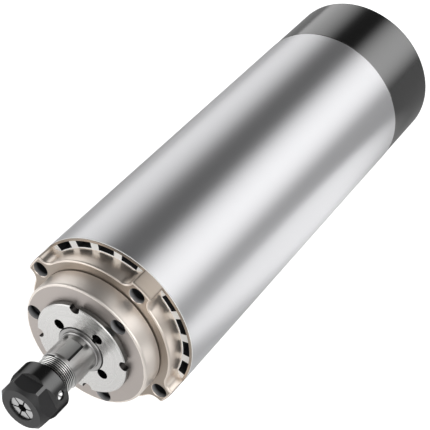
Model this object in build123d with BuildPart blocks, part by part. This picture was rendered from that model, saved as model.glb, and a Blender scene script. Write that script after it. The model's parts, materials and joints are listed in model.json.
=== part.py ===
from build123d import *
from math import atan2, cos, degrees, radians, sin, sqrt, tan
import os

os.makedirs("parts", exist_ok=True)

# Motor spindle, 65 mm body, air cooled, for 11 mm collets. Millimetres.
# The shaft line is the Y axis. The nose points to -Y and +Z is up.
# The origin is on the shaft line, at the front edge of the body tube.
# Angles are counted from +X towards +Z, as seen from the nose.

# Body tube: an extrusion with air ducts between its inner and outer wall
tube_radius = 32.5
tube_length = 152.8
tube_skin = 0.95
duct_height = 2.75
tube_inner_wall = 2.5
duct_pitch_angle = 18.0
web_angle = 6.0
tube_edge_chamfer = 0.4

# Four screw bosses, one to a quarter, with air ducts between them
boss_count = 4
boss_angle = 55.4
boss_screw_inset = 3.74
boss_width = 8.6
boss_root_fillet = 3.9
boss_root_share = 0.98
boss_corner_fillet = 0.75
ducts_per_quarter = 4

# Front bracket
joint_step = 0.1
joint_chamfer = 0.3
bracket_depth = 7.36
bracket_hub_ledge = 0.4
bracket_rim_depth = 0.4
bracket_edge_fillet = 0.7
spigot_gap = 0.1
front_spigot_length = 8.0
bearing_wall = 4.0
bearing_shoulder = 2.5
bearing_shoulder_height = 2.8

# Bearing cover, the round nose ring on the bracket
cover_radius = 24.7
cover_thickness = 8.34
cover_edge_fillet = 0.9
cover_joint_chamfer = 0.5
cover_register_step = 2.5
cover_register_depth = 2.0
cover_screw_inset = 3.5
cover_screw_count = 3
cover_screw_angle = 47.3

# Lock ring, the pale disc that clamps the front bearings
lock_ring_radius = 18.2
lock_ring_stand = 2.3
lock_ring_relief = 0.4
lock_ring_neck_inset = 0.8
lock_ring_thread_step = 0.4
lock_ring_edge_chamfer = 0.3
lock_ring_bore_radius = 9.1
lock_ring_lip = 1.9
pin_hole_radius = 2.0
pin_hole_place_radius = 11.02
pin_hole_angle = 48.9
pin_hole_count = 4
pin_hole_depth = 4.5
notch_radius = 1.9
notch_inset = 0.6
notch_angle = 4.0
notch_count = 4

# Screws
screw_radius = 1.5
screw_head_radius = 2.75
screw_head_height = 3.0
screw_socket_flats = 2.5
screw_socket_depth = 1.6
counterbore_radius = 2.95
bracket_screw_sink = 3.4
bracket_screw_reach = 8.0
cover_screw_sink = 2.4
cover_screw_reach = 7.0
cap_screw_sink = 0.5
cap_screw_reach = 8.0
hole_spare = 1.5

# Fits
seat_gap = 0.02
thread_gap = 0.05
ball_gap = 0.06

# Bearings: a pair of 15 mm bore in front, one of 12 mm bore behind
front_bearing_bore = 15.0
front_bearing_outside = 32.0
front_bearing_width = 9.0
front_bearing_pair = 2
front_bearing_spacing = 0.1
front_ball_count = 11
rear_bearing_bore = 12.0
rear_bearing_outside = 28.0
rear_bearing_width = 8.0
rear_ball_count = 9
ball_radius = 2.38
ring_wall_share = 0.31
cage_wall = 1.6
cage_width = 6.8
spring_height = 1.8
spring_strip = 0.4
spring_waves = 3
spring_clearance = 0.09
spring_side_gap = 0.04
wave_steps = 6

# Shaft
nose_radius = 7.2
nose_length = 10.9
shoulder_stand = 1.2
shoulder_chamfer = 0.3
nose_thread_radius = 6.95
nose_thread_length = 13.6
nose_thread_chamfer = 0.5
nose_flats_width = 13.4
flat_length = 8.0
flat_setback = 1.0
flat_angle = 77.0
shaft_shoulder_radius = 9.0
shaft_core_radius = 8.0
shaft_rear_radius = 7.5
fan_seat_radius = 4.5
fan_thread_radius = 3.0
draw_bore_radius = 4.2
draw_bore_length = 6.0
draw_bore_tip = 2.1
slinger_radius = 8.8
slinger_stand = 0.6

# Collet, 11 mm series with 8 degree taper and 30 degree head
collet_length = 18.0
collet_head_radius = 5.75
collet_face_radius = 4.75
collet_head_angle = 30.0
collet_land = 0.4
collet_groove_width = 1.8
collet_groove_radius = 4.95
collet_taper_radius = 5.65
collet_taper_angle = 8.0
collet_bore_radius = 1.5875
collet_slit = 0.5
collet_slit_count = 6
collet_slit_angle = 10.5
collet_web = 2.6
collet_overhang = 1.27
taper_gap = 0.03

# Collet nut
nut_radius = 9.5
nut_across_flats = 17.0
nut_length = 12.9
nut_round_length = 6.7
nut_face_radius = 7.6
nut_face_chamfer = 2.1
nut_rear_chamfer = 0.4
nut_mouth_radius = 4.6
nut_mouth_chamfer = 0.15
nut_front_lip = 0.7
nut_chamber_radius = 6.6
nut_lip_radius = 5.85
nut_lip_offset = 0.5
nut_lip_width = 0.9
nut_flat_angle = 24.5
nut_flat_count = 6
balance_hole_radius = 1.6
balance_hole_depth = 1.1
balance_hole_tip = 0.9
balance_hole_angle = 18.0
balance_hole_setback = 3.4

# Motor
stator_station = 42.0
stator_length = 66.0
stator_bore_radius = 13.2
stator_gap = 0.05
slot_count = 24
slot_mouth = 1.4
slot_mouth_depth = 1.4
stator_back = 4.8
slot_inner_width = 1.9
slot_outer_width = 3.5
slot_liner = 0.15
winding_overhang = 14.0
winding_air_space = 2.8
winding_inset = 0.6
winding_bore_inset = 1.2
winding_round = 2.5
air_gap = 0.5
end_ring_length = 4.0
end_ring_wall = 4.2

# Rear bracket
rear_flange_thickness = 3.0
rear_flange_inset = 0.5
rear_spigot_length = 8.0
rear_hub_length = 12.0
rear_hub_ledge = 1.0
rear_spigot_wall = 1.4
rear_window_angle = 56.0
rear_shoulder_height = 3.5
rear_lobe_radius = 3.6

# Fan
fan_tip_clearance = 1.16
fan_station = 5.0
fan_plate = 1.2
fan_blade_height = 6.5
fan_hub_radius = 7.5
fan_hub_length = 8.5
fan_blade_count = 11
fan_blade_sweep = 34.0
fan_blade_curve = 0.4
fan_blade_angle = 4.0
fan_nut_flats = 9.0
fan_nut_height = 3.0
shaft_end_spare = 0.5

# Rear cap
cap_length = 29.8
cap_wall = 1.5
cap_end_wall = 3.0
cap_edge_fillet = 0.8
cap_pillar_radius = 3.5
inlet_count = 20
inlet_width = 2.6
inlet_hub_space = 3.5
inlet_pillar_space = 0.86

# Power connector, 16 mm four-pin panel socket
connector_radius = 8.0
connector_bore_radius = 6.25
connector_flange_radius = 10.0
connector_flange = 2.5
connector_barrel = 7.5
connector_inner_length = 5.0
connector_nut_flats = 19.0
connector_nut_height = 2.5
connector_key_width = 1.0
connector_key_height = 1.0
insert_recess = 6.0
insert_length = 10.0
pin_radius = 0.75
pin_place_radius = 3.5
pin_count = 4
pin_tip_chamfer = 0.25
pin_recess = 2.0
pin_tail = 1.5

# Leads inside the rear cap: three for the phases, and one to earth on the last pin
phase_count = 3
lead_radius = 0.9
lead_start_depth = 2.0
lead_wall_space = 2.7
lead_spread = 8.0
lead_bend = 8.0
lead_corner = 5.0
lead_pin_bend = 2.3
lead_turn_back = 2.8
lead_run_clearance = 3.3
earth_lead_inset = 1.1
earth_lead_angle = 303.0

# Stations along the shaft line
tube_rear = tube_length
bracket_face = -bracket_depth
cover_face = bracket_face - cover_thickness
lock_ring_face = cover_face - lock_ring_stand
front_bearing_face = bracket_face + cover_register_depth
front_bearing_pitch = front_bearing_width + front_bearing_spacing
front_bearing_stack = front_bearing_pair * front_bearing_pitch - front_bearing_spacing
front_bearing_end = front_bearing_face + front_bearing_stack
bracket_end = front_bearing_end + bearing_shoulder
shoulder_face = lock_ring_face - shoulder_stand
nose_thread_start = shoulder_face - nose_length
shaft_front = nose_thread_start - nose_thread_length
stator_end = stator_station + stator_length
winding_front = stator_station - winding_overhang
winding_end = stator_end + winding_overhang
rear_bearing_face = tube_rear - rear_hub_length
rear_bearing_end = rear_bearing_face + rear_bearing_width
spring_end = rear_bearing_end + spring_height
rear_flange_face = tube_rear + rear_flange_thickness
fan_face = tube_rear + fan_station
fan_hub_end = fan_face + fan_hub_length
shaft_rear = fan_hub_end + fan_nut_height + shaft_end_spare
cap_rear = tube_rear + cap_length
cap_inside = cap_rear - cap_end_wall
connector_flange_end = cap_rear + connector_flange
connector_rear = connector_flange_end + connector_barrel
connector_front = cap_inside - connector_inner_length
insert_end = connector_rear - insert_recess
insert_front = insert_end - insert_length
pin_front = insert_front - pin_tail
lead_run_station = pin_front - lead_run_clearance

# Radii and angles worked out from the sizes above
quarter = 360 / boss_count
pocket_angle = boss_angle + quarter / 2
journal_radius = front_bearing_bore / 2
rear_journal_radius = rear_bearing_bore / 2
front_seat_radius = front_bearing_outside / 2
rear_seat_radius = rear_bearing_outside / 2
duct_outer_radius = tube_radius - tube_skin
duct_inner_radius = duct_outer_radius - duct_height
tube_bore_radius = duct_inner_radius - tube_inner_wall
spigot_radius = tube_bore_radius - spigot_gap
bracket_radius = tube_radius - joint_step
cap_radius = tube_radius - joint_step
bracket_hub_radius = duct_inner_radius - bracket_hub_ledge
boss_screw_circle = bracket_radius - boss_screw_inset
cover_register_radius = front_seat_radius + cover_register_step
cover_screw_circle = cover_radius - cover_screw_inset
lock_ring_thread_radius = front_seat_radius - lock_ring_thread_step
notch_circle = lock_ring_radius - notch_inset
slot_inner_radius = stator_bore_radius + slot_mouth_depth
slot_outer_radius = tube_bore_radius - stator_back
rotor_radius = stator_bore_radius - air_gap
winding_radius = tube_bore_radius - winding_air_space
rear_flange_radius = duct_inner_radius - rear_flange_inset
rear_window_inner_radius = rear_seat_radius + bearing_wall + rear_hub_ledge
rear_window_outer_radius = spigot_radius - rear_spigot_wall
fan_radius = boss_screw_circle - cap_pillar_radius - fan_tip_clearance
inlet_inner_radius = connector_flange_radius + inlet_hub_space
inlet_outer_radius = boss_screw_circle - cap_pillar_radius - inlet_pillar_space
lead_start_circle = winding_radius - lead_start_depth
lead_outer_circle = cap_radius - cap_wall - lead_wall_space
earth_lead_circle = rear_flange_radius - earth_lead_inset
collet_head_length = (collet_head_radius - collet_face_radius) / tan(radians(collet_head_angle))
collet_taper_face = shaft_front - collet_overhang
collet_face = collet_taper_face - collet_groove_width - collet_land - collet_head_length
collet_end = collet_face + collet_length
collet_end_radius = collet_taper_radius - (collet_end - collet_taper_face) * tan(
    radians(collet_taper_angle)
)
nut_face = collet_face - nut_front_lip
nut_rear = nut_face + nut_length


def across(station):
    """Plane square to the shaft line at a station, as seen from the nose."""
    return Plane(origin=(0, station, 0), x_dir=(1, 0, 0), z_dir=(0, -1, 0))


def across_rear(station):
    """Plane square to the shaft line at a station, as seen from the rear."""
    return Plane(origin=(0, station, 0), x_dir=(1, 0, 0), z_dir=(0, 1, 0))


def along(angle):
    """Plane through the shaft line: local x runs outwards, local y to the rear."""
    c, s = cos(radians(angle)), sin(radians(angle))
    return Plane(origin=(0, 0, 0), x_dir=(c, 0, s), z_dir=(-s, 0, c))


def polar(radius, angle):
    """Point on a plane square to the shaft line."""
    return (radius * cos(radians(angle)), radius * sin(radians(angle)))


def at(radius, angle, station):
    """Point in space from its radius, angle and station."""
    return (radius * cos(radians(angle)), station, radius * sin(radians(angle)))


def arc_about(centre, start, end):
    """The short arc between two points, about a given centre."""
    outwards = ((start + end) / 2 - centre).normalized()
    ThreePointArc(start, centre + outwards * (start - centre).length, end)


def turn(points, mode=Mode.ADD):
    """Turn a closed half profile of (radius, station) points about the shaft line."""
    with BuildSketch(Plane.XY) as profile:
        with BuildLine():
            Polyline(*points, close=True)
        make_face()
    revolve(profile.sketch, axis=Axis.Y, mode=mode)


def turn_bar(inner, outer, start, end, mode=Mode.ADD):
    """Turn a plain ring or bar between two stations."""
    turn([(inner, start), (outer, start), (outer, end), (inner, end)], mode)


def drill(radius, start, end, circle, count, angle):
    """Drill a circle of holes along the shaft line between two stations."""
    with BuildSketch(across(start)) as holes:
        with PolarLocations(circle, count, angle):
            Circle(radius)
    extrude(holes.sketch, amount=start - end, mode=Mode.SUBTRACT)


def ring_sectors(inner, outer, angles, size):
    """Sectors of a flat ring, each of one angular size, centred on the angles."""
    with BuildSketch(Plane.XY) as sectors:
        for angle in angles:
            with BuildLine():
                outside = CenterArc((0, 0), outer, angle - size / 2, size)
                inside = CenterArc((0, 0), inner, angle - size / 2, size)
                Line(outside @ 0, inside @ 0)
                Line(outside @ 1, inside @ 1)
            make_face()
    return sectors.sketch


def sink_screws(plane, circle, count, angle, length):
    """Socket-head screws: heads stand on the plane, shanks run back from it."""
    with BuildSketch(plane) as heads:
        with PolarLocations(circle, count, angle):
            Circle(screw_head_radius)
    extrude(heads.sketch, amount=screw_head_height)
    with BuildSketch(plane) as shanks:
        with PolarLocations(circle, count, angle):
            Circle(screw_radius)
    extrude(shanks.sketch, amount=-length)
    with BuildSketch(plane.offset(screw_head_height)) as sockets:
        with PolarLocations(circle, count, angle):
            RegularPolygon(screw_socket_flats / 2, 6, major_radius=False)
    extrude(sockets.sketch, amount=-screw_socket_depth, mode=Mode.SUBTRACT)


def save(piece, label):
    """Name a finished piece and write it to its file."""
    piece.label = label
    export_step(piece, f"parts/{label}.step")


# Duct angles: the ducts lie in the four pockets between the screw bosses
duct_angles = []
for pocket in range(boss_count):
    for duct in range(ducts_per_quarter):
        step = (duct - (ducts_per_quarter - 1) / 2) * duct_pitch_angle
        duct_angles.append(pocket_angle + pocket * quarter + step)
duct_angle = duct_pitch_angle - web_angle

# Body tube
with BuildPart() as body_tube:
    turn_bar(tube_bore_radius, tube_radius, 0, tube_rear)
    rims = body_tube.edges().filter_by(GeomType.CIRCLE).filter_by(
        lambda edge: edge.radius > duct_outer_radius
    )
    chamfer(rims, tube_edge_chamfer)
    with BuildSketch(across(0)):
        add(ring_sectors(duct_inner_radius, duct_outer_radius, duct_angles, duct_angle))
    extrude(amount=-tube_rear, mode=Mode.SUBTRACT)
    tapped_radius = screw_radius + thread_gap
    tapped_depth = bracket_screw_reach + hole_spare
    drill(tapped_radius, 0, tapped_depth, boss_screw_circle, boss_count, boss_angle)
    rear_depth = cap_screw_reach + hole_spare
    drill(tapped_radius, tube_rear - rear_depth, tube_rear, boss_screw_circle, boss_count, boss_angle)
save(body_tube.part, "body_tube")

# Front bracket: a hub with four bosses that flow into it, and a thin rim round the ducts
half_boss = boss_width / 2
corner_reach = bracket_radius - boss_corner_fillet
corner_offset = half_boss - boss_corner_fillet
corner_along = sqrt(corner_reach**2 - corner_offset**2)
root_room = corner_along**2 - bracket_hub_radius**2 + half_boss**2
root_limit = root_room / (bracket_hub_radius - half_boss) / 2
root_fillet = min(boss_root_fillet, root_limit * boss_root_share)
root_reach = bracket_hub_radius + root_fillet
root_offset = half_boss + root_fillet
root_along = sqrt(root_reach**2 - root_offset**2)
root_angle = degrees(atan2(root_offset, root_along))
corner_angle = degrees(atan2(corner_offset, corner_along))


def boss_side(angle, side):
    """One side of a boss: root fillet, straight flank and rounded corner."""

    def place(along_boss, across_boss):
        return Vector(along_boss, across_boss * side).rotate(Axis.Z, angle)

    root = Vector(*polar(bracket_hub_radius, angle + root_angle * side))
    corner = Vector(*polar(bracket_radius, angle + corner_angle * side))
    arc_about(place(root_along, root_offset), root, place(root_along, half_boss))
    Line(place(root_along, half_boss), place(corner_along, half_boss))
    arc_about(place(corner_along, corner_offset), place(corner_along, half_boss), corner)
    return root


with BuildPart() as front_bracket:
    with BuildSketch(across(0)):
        for boss in range(boss_count):
            angle = boss_angle + boss * quarter
            with BuildLine():
                first_root = boss_side(angle, -1)
                boss_side(angle, 1)
                CenterArc((0, 0), bracket_radius, angle - corner_angle, corner_angle * 2)
                hub_arc = CenterArc(
                    (0, 0), bracket_hub_radius, angle + root_angle, quarter - root_angle * 2
                )
                Line(hub_arc @ 1, (0, 0))
                Line((0, 0), first_root)
            make_face()
    extrude(amount=bracket_depth)
    face_edges = front_bracket.faces().sort_by(Axis.Y)[0].edges()
    fillet(face_edges, bracket_edge_fillet)
    turn_bar(duct_outer_radius, bracket_radius, -bracket_rim_depth, 0)
    turn([
        (bracket_radius - joint_chamfer, 0),
        (bracket_radius, -joint_chamfer),
        (tube_radius, -joint_chamfer),
        (tube_radius, 0),
    ], Mode.SUBTRACT)
    turn_bar(0, spigot_radius, 0, front_spigot_length)
    turn_bar(0, front_seat_radius + bearing_wall, front_spigot_length, bracket_end)
    turn_bar(0, front_seat_radius + seat_gap, bracket_face, front_bearing_end, Mode.SUBTRACT)
    register_end = bracket_face + cover_register_depth
    turn_bar(0, cover_register_radius + seat_gap, bracket_face, register_end, Mode.SUBTRACT)
    shoulder_bore = front_seat_radius - bearing_shoulder_height
    turn_bar(0, shoulder_bore, front_bearing_end, bracket_end, Mode.SUBTRACT)
    screw_seat = bracket_face + bracket_screw_sink + screw_head_height
    drill(counterbore_radius, bracket_face, screw_seat, boss_screw_circle, boss_count, boss_angle)
    drill(screw_radius + thread_gap, screw_seat, 0, boss_screw_circle, boss_count, boss_angle)
    cover_screw_seat = cover_face + cover_screw_sink + screw_head_height
    cover_hole_end = cover_screw_seat + cover_screw_reach + hole_spare
    drill(
        screw_radius + thread_gap, bracket_face, cover_hole_end,
        cover_screw_circle, cover_screw_count, cover_screw_angle,
    )
save(front_bracket.part, "front_bracket")

with BuildPart() as bracket_screws:
    bracket_screw_length = bracket_screw_reach - screw_seat
    sink_screws(across(screw_seat), boss_screw_circle, boss_count, boss_angle, bracket_screw_length)
save(bracket_screws.part, "bracket_screws")

# Bearing cover
with BuildPart() as bearing_cover:
    turn_bar(0, cover_radius, cover_face, bracket_face)
    nose_rim = bearing_cover.edges().filter_by(GeomType.CIRCLE).sort_by(Axis.Y)[0]
    fillet(nose_rim, cover_edge_fillet)
    joint_rim = bearing_cover.edges().filter_by(GeomType.CIRCLE).sort_by(Axis.Y)[-1]
    chamfer(joint_rim, cover_joint_chamfer)
    turn_bar(0, cover_register_radius, bracket_face, front_bearing_face)
    cover_bore = lock_ring_thread_radius + thread_gap
    turn_bar(0, cover_bore, cover_face, front_bearing_face, Mode.SUBTRACT)
    drill(
        counterbore_radius, cover_face, cover_screw_seat,
        cover_screw_circle, cover_screw_count, cover_screw_angle,
    )
    drill(
        screw_radius + thread_gap, cover_screw_seat, bracket_face,
        cover_screw_circle, cover_screw_count, cover_screw_angle,
    )
save(bearing_cover.part, "bearing_cover")

with BuildPart() as cover_screws:
    sink_screws(
        across(cover_screw_seat), cover_screw_circle,
        cover_screw_count, cover_screw_angle, cover_screw_reach,
    )
save(cover_screws.part, "cover_screws")

# Lock ring: a flange over the cover, a threaded body, and a lip on the outer races
with BuildPart() as lock_ring:
    flange_back = cover_face - lock_ring_relief
    turn([
        (lock_ring_bore_radius, lock_ring_face),
        (lock_ring_radius - lock_ring_edge_chamfer, lock_ring_face),
        (lock_ring_radius, lock_ring_face + lock_ring_edge_chamfer),
        (lock_ring_radius, flange_back),
        (lock_ring_radius - lock_ring_neck_inset, flange_back),
        (lock_ring_radius - lock_ring_neck_inset, cover_face),
        (lock_ring_thread_radius, cover_face),
        (lock_ring_thread_radius, front_bearing_face),
        (lock_ring_thread_radius - lock_ring_lip, front_bearing_face),
        (lock_ring_thread_radius - lock_ring_lip, front_bearing_face - lock_ring_lip),
        (lock_ring_bore_radius, front_bearing_face - lock_ring_lip),
    ])
    drill(
        pin_hole_radius, lock_ring_face, lock_ring_face + pin_hole_depth,
        pin_hole_place_radius, pin_hole_count, pin_hole_angle,
    )
    drill(notch_radius, lock_ring_face, cover_face, notch_circle, notch_count, notch_angle)
save(lock_ring.part, "lock_ring")


def bearing_sizes(bore, outside):
    """Ball circle radius and race land radii of a bearing."""
    circle = (bore + outside) / 4
    wall = (outside - bore) / 2 * ring_wall_share
    return circle, bore / 2 + wall, outside / 2 - wall


def race(inner, outer, start, width, circle):
    """One race ring with its ball groove."""
    turn_bar(inner, outer, start, start + width)
    with BuildSketch(Plane.XY) as groove:
        with Locations((circle, start + width / 2)):
            Circle(ball_radius + ball_gap)
    revolve(groove.sketch, axis=Axis.Y, mode=Mode.SUBTRACT)


def ball_circle(middle, circle, count):
    """A ring of balls at a station."""
    for ball in range(count):
        with Locations(at(circle, ball * 360 / count, middle)):
            Sphere(ball_radius)


def cage_ring(middle, circle, count):
    """Ball cage: a band with a round pocket for each ball."""
    inner, outer = circle - cage_wall / 2, circle + cage_wall / 2
    turn_bar(inner, outer, middle - cage_width / 2, middle + cage_width / 2)
    for pocket in range(count):
        angle = pocket * 360 / count
        with BuildSketch(
            Plane(origin=at(inner / 2, angle, middle), z_dir=at(1, angle, 0))
        ) as window:
            Circle(ball_radius + ball_gap)
        extrude(window.sketch, amount=outer, mode=Mode.SUBTRACT)


front_circle, front_inner_land, front_outer_land = bearing_sizes(
    front_bearing_bore, front_bearing_outside
)
rear_circle, rear_inner_land, rear_outer_land = bearing_sizes(
    rear_bearing_bore, rear_bearing_outside
)
front_faces = [
    front_bearing_face + bearing * front_bearing_pitch for bearing in range(front_bearing_pair)
]
front_middles = [face + front_bearing_width / 2 for face in front_faces]
rear_middle = rear_bearing_face + rear_bearing_width / 2

# Front bearings
with BuildPart() as front_outer_races:
    for face in front_faces:
        race(front_outer_land, front_seat_radius, face, front_bearing_width, front_circle)
save(front_outer_races.part, "front_outer_races")

with BuildPart() as front_inner_races:
    for face in front_faces:
        race(journal_radius + seat_gap, front_inner_land, face, front_bearing_width, front_circle)
save(front_inner_races.part, "front_inner_races")

with BuildPart() as front_balls:
    for middle in front_middles:
        ball_circle(middle, front_circle, front_ball_count)
save(front_balls.part, "front_balls")

with BuildPart() as front_cages:
    for middle in front_middles:
        cage_ring(middle, front_circle, front_ball_count)
save(front_cages.part, "front_cages")

# Rear bearing
with BuildPart() as rear_outer_race:
    race(rear_outer_land, rear_seat_radius, rear_bearing_face, rear_bearing_width, rear_circle)
save(rear_outer_race.part, "rear_outer_race")

with BuildPart() as rear_inner_race:
    race(
        rear_journal_radius + seat_gap, rear_inner_land,
        rear_bearing_face, rear_bearing_width, rear_circle,
    )
save(rear_inner_race.part, "rear_inner_race")

with BuildPart() as rear_balls:
    ball_circle(rear_middle, rear_circle, rear_ball_count)
save(rear_balls.part, "rear_balls")

with BuildPart() as rear_cage:
    cage_ring(rear_middle, rear_circle, rear_ball_count)
save(rear_cage.part, "rear_cage")

# Preload spring: a waved strip behind the rear outer race, lofted one wave at a time
with BuildPart() as preload_spring:
    spring_radius = (rear_seat_radius + rear_outer_land) / 2
    spring_width = rear_seat_radius - rear_outer_land - spring_side_gap * 2
    spring_middle = (rear_bearing_end + spring_end) / 2
    spring_swing = (spring_height - spring_strip) / 2 - spring_clearance
    for wave in range(spring_waves):
        for step in range(wave_steps + 1):
            share = step / wave_steps
            angle = (wave + share) * 360 / spring_waves
            rise = spring_swing * cos(radians(share * 360))
            strip_plane = Plane(
                origin=at(spring_radius, angle, spring_middle + rise),
                x_dir=at(1, angle, 0), z_dir=at(1, angle + 90, 0),
            )
            with BuildSketch(strip_plane):
                Rectangle(spring_width, spring_strip)
        loft()
save(preload_spring.part, "preload_spring")

# Spindle shaft
with BuildPart() as spindle_shaft:
    turn([
        (0, shaft_front),
        (nose_thread_radius - nose_thread_chamfer, shaft_front),
        (nose_thread_radius, shaft_front + nose_thread_chamfer),
        (nose_thread_radius, nose_thread_start),
        (nose_radius, nose_thread_start),
        (nose_radius, shoulder_face),
        (journal_radius, shoulder_face + shoulder_chamfer),
        (journal_radius, front_bearing_end),
        (shaft_shoulder_radius, front_bearing_end),
        (shaft_shoulder_radius, stator_station - end_ring_length),
        (shaft_core_radius, stator_station - end_ring_length),
        (shaft_core_radius, stator_end + end_ring_length),
        (shaft_rear_radius, stator_end + end_ring_length),
        (shaft_rear_radius, rear_bearing_face),
        (rear_journal_radius, rear_bearing_face),
        (rear_journal_radius, fan_face),
        (fan_seat_radius, fan_face),
        (fan_seat_radius, fan_hub_end),
        (fan_thread_radius, fan_hub_end),
        (fan_thread_radius, shaft_rear),
        (0, shaft_rear),
    ])
    seat_mouth = collet_taper_radius + taper_gap - collet_overhang * tan(radians(collet_taper_angle))
    seat_length = (seat_mouth - draw_bore_radius) / tan(radians(collet_taper_angle))
    turn([
        (0, shaft_front),
        (seat_mouth, shaft_front),
        (draw_bore_radius, shaft_front + seat_length),
        (draw_bore_radius, shaft_front + seat_length + draw_bore_length),
        (0, shaft_front + seat_length + draw_bore_length + draw_bore_tip),
    ], Mode.SUBTRACT)
    flat_front = nose_thread_start + flat_setback
    flat_depth = nose_radius - nose_flats_width / 2
    with BuildSketch(across(flat_front)):
        with PolarLocations(nose_flats_width / 2 + flat_depth, 2, flat_angle):
            Rectangle(flat_depth * 2, nose_radius * 2)
    extrude(amount=-flat_length, mode=Mode.SUBTRACT)
save(spindle_shaft.part, "spindle_shaft")

with BuildPart() as slinger:
    slinger_face = lock_ring_face - slinger_stand
    turn_bar(journal_radius + seat_gap, slinger_radius, slinger_face, front_bearing_face)
save(slinger.part, "slinger")

# Collet
with BuildPart() as collet:
    turn([
        (collet_bore_radius, collet_face),
        (collet_face_radius, collet_face),
        (collet_head_radius, collet_face + collet_head_length),
        (collet_head_radius, collet_face + collet_head_length + collet_land),
        (collet_groove_radius, collet_face + collet_head_length + collet_land),
        (collet_groove_radius, collet_taper_face),
        (collet_taper_radius, collet_taper_face),
        (collet_end_radius, collet_end),
        (collet_bore_radius, collet_end),
    ])
    for slit in range(collet_slit_count):
        angle = collet_slit_angle + slit * 360 / collet_slit_count
        with BuildSketch(along(angle)) as front_slit:
            with BuildLine():
                Polyline(
                    (0, collet_face), (nut_radius, collet_face),
                    (nut_radius, collet_end - collet_web), (0, collet_end - collet_web),
                    close=True,
                )
            make_face()
        extrude(amount=collet_slit / 2, both=True, mode=Mode.SUBTRACT)
        with BuildSketch(along(angle + 180 / collet_slit_count)) as rear_slit:
            with BuildLine():
                Polyline(
                    (0, collet_face + collet_web), (nut_radius, collet_face + collet_web),
                    (nut_radius, collet_end), (0, collet_end),
                    close=True,
                )
            make_face()
        extrude(amount=collet_slit / 2, both=True, mode=Mode.SUBTRACT)
save(collet.part, "collet")

# Collet nut: round behind, hexagonal in front, with an off-centre lip that pulls the collet
with BuildPart() as collet_nut:
    turn([
        (0, nut_face),
        (nut_face_radius, nut_face),
        (nut_radius, nut_face + nut_face_chamfer),
        (nut_radius, nut_rear - nut_rear_chamfer),
        (nut_radius - nut_rear_chamfer, nut_rear),
        (0, nut_rear),
    ])
    flat_end = nut_rear - nut_round_length
    flat_radius = nut_across_flats / 2
    for flat in range(nut_flat_count):
        angle = nut_flat_angle + flat * 360 / nut_flat_count
        with BuildSketch(along(angle)):
            with BuildLine():
                Polyline(
                    (flat_radius, nut_face), (nut_radius * 2, nut_face),
                    (nut_radius * 2, flat_end + nut_radius * 2 - flat_radius),
                    (flat_radius, flat_end),
                    close=True,
                )
            make_face()
        extrude(amount=nut_radius, both=True, mode=Mode.SUBTRACT)
    nut_thread_radius = nose_thread_radius + thread_gap
    lip_back = collet_taper_face - (collet_groove_width - nut_lip_width) / 2
    lip_front = lip_back - nut_lip_width
    cone_top = collet_face + collet_head_length
    cone_shift = taper_gap / cos(radians(collet_head_angle))
    head_slope = tan(radians(collet_head_angle))
    cone_end = cone_top - (collet_head_radius + cone_shift - nut_mouth_radius) / head_slope
    turn_bar(0, nut_thread_radius, shaft_front, nut_rear, Mode.SUBTRACT)
    turn_bar(0, nut_thread_radius, lip_back, shaft_front, Mode.SUBTRACT)
    turn([
        (0, nut_face),
        (nut_mouth_radius + nut_mouth_chamfer, nut_face),
        (nut_mouth_radius, nut_face + nut_mouth_chamfer),
        (nut_mouth_radius, cone_end),
        (collet_head_radius + cone_shift, cone_top),
        (nut_chamber_radius, cone_top),
        (nut_chamber_radius, lip_front),
        (0, lip_front),
    ], Mode.SUBTRACT)
    with BuildSketch(across(lip_front)):
        with Locations((nut_lip_offset, 0)):
            Circle(nut_lip_radius)
    extrude(amount=-nut_lip_width, mode=Mode.SUBTRACT)
    hole_station = nut_rear - balance_hole_setback
    hole_floor = nut_radius - balance_hole_depth
    with BuildSketch(along(balance_hole_angle)) as balance_hole:
        with BuildLine():
            Polyline(
                (nut_radius * 2, hole_station),
                (nut_radius * 2, hole_station + balance_hole_radius),
                (hole_floor, hole_station + balance_hole_radius),
                (hole_floor - balance_hole_tip, hole_station),
                close=True,
            )
        make_face()
    hole_axis = Axis((0, hole_station, 0), at(1, balance_hole_angle, 0))
    revolve(axis=hole_axis, mode=Mode.SUBTRACT)
save(collet_nut.part, "collet_nut")

# Stator core with open slots
with BuildPart() as stator_core:
    with BuildSketch(across(stator_station)) as lamination:
        Circle(tube_bore_radius - stator_gap)
        Circle(stator_bore_radius, mode=Mode.SUBTRACT)
        with BuildSketch(mode=Mode.PRIVATE) as slot:
            with BuildLine():
                Polyline(
                    (slot_inner_radius, -slot_inner_width / 2),
                    (slot_outer_radius, -slot_outer_width / 2),
                    (slot_outer_radius, slot_outer_width / 2),
                    (slot_inner_radius, slot_inner_width / 2),
                    close=True,
                )
            make_face()
            Rectangle(slot_inner_radius, slot_mouth, align=(Align.MIN, Align.CENTER))
        with PolarLocations(0, slot_count):
            add(slot.sketch, mode=Mode.SUBTRACT)
    extrude(amount=-stator_length)
save(stator_core.part, "stator_core")

# Winding: slot bars and the two end bundles
with BuildPart() as stator_winding:
    bundle_inner = stator_bore_radius + winding_bore_inset
    for start, end in (
        (winding_front, stator_station - winding_inset),
        (stator_end + winding_inset, winding_end),
    ):
        with BuildSketch(Plane.XY):
            with Locations(((bundle_inner + winding_radius) / 2, (start + end) / 2)):
                RectangleRounded(winding_radius - bundle_inner, end - start, winding_round)
        revolve(axis=Axis.Y)
    with BuildSketch(Plane.XY, mode=Mode.PRIVATE) as bar:
        with BuildLine():
            Polyline(
                (slot_inner_radius + slot_liner, slot_liner - slot_inner_width / 2),
                (slot_outer_radius - slot_liner, slot_liner - slot_outer_width / 2),
                (slot_outer_radius - slot_liner, slot_outer_width / 2 - slot_liner),
                (slot_inner_radius + slot_liner, slot_inner_width / 2 - slot_liner),
                close=True,
            )
        make_face()
    with BuildSketch(across(stator_station - winding_overhang / 2)):
        with PolarLocations(0, slot_count):
            add(bar.sketch)
    extrude(amount=-(stator_length + winding_overhang))
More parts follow.
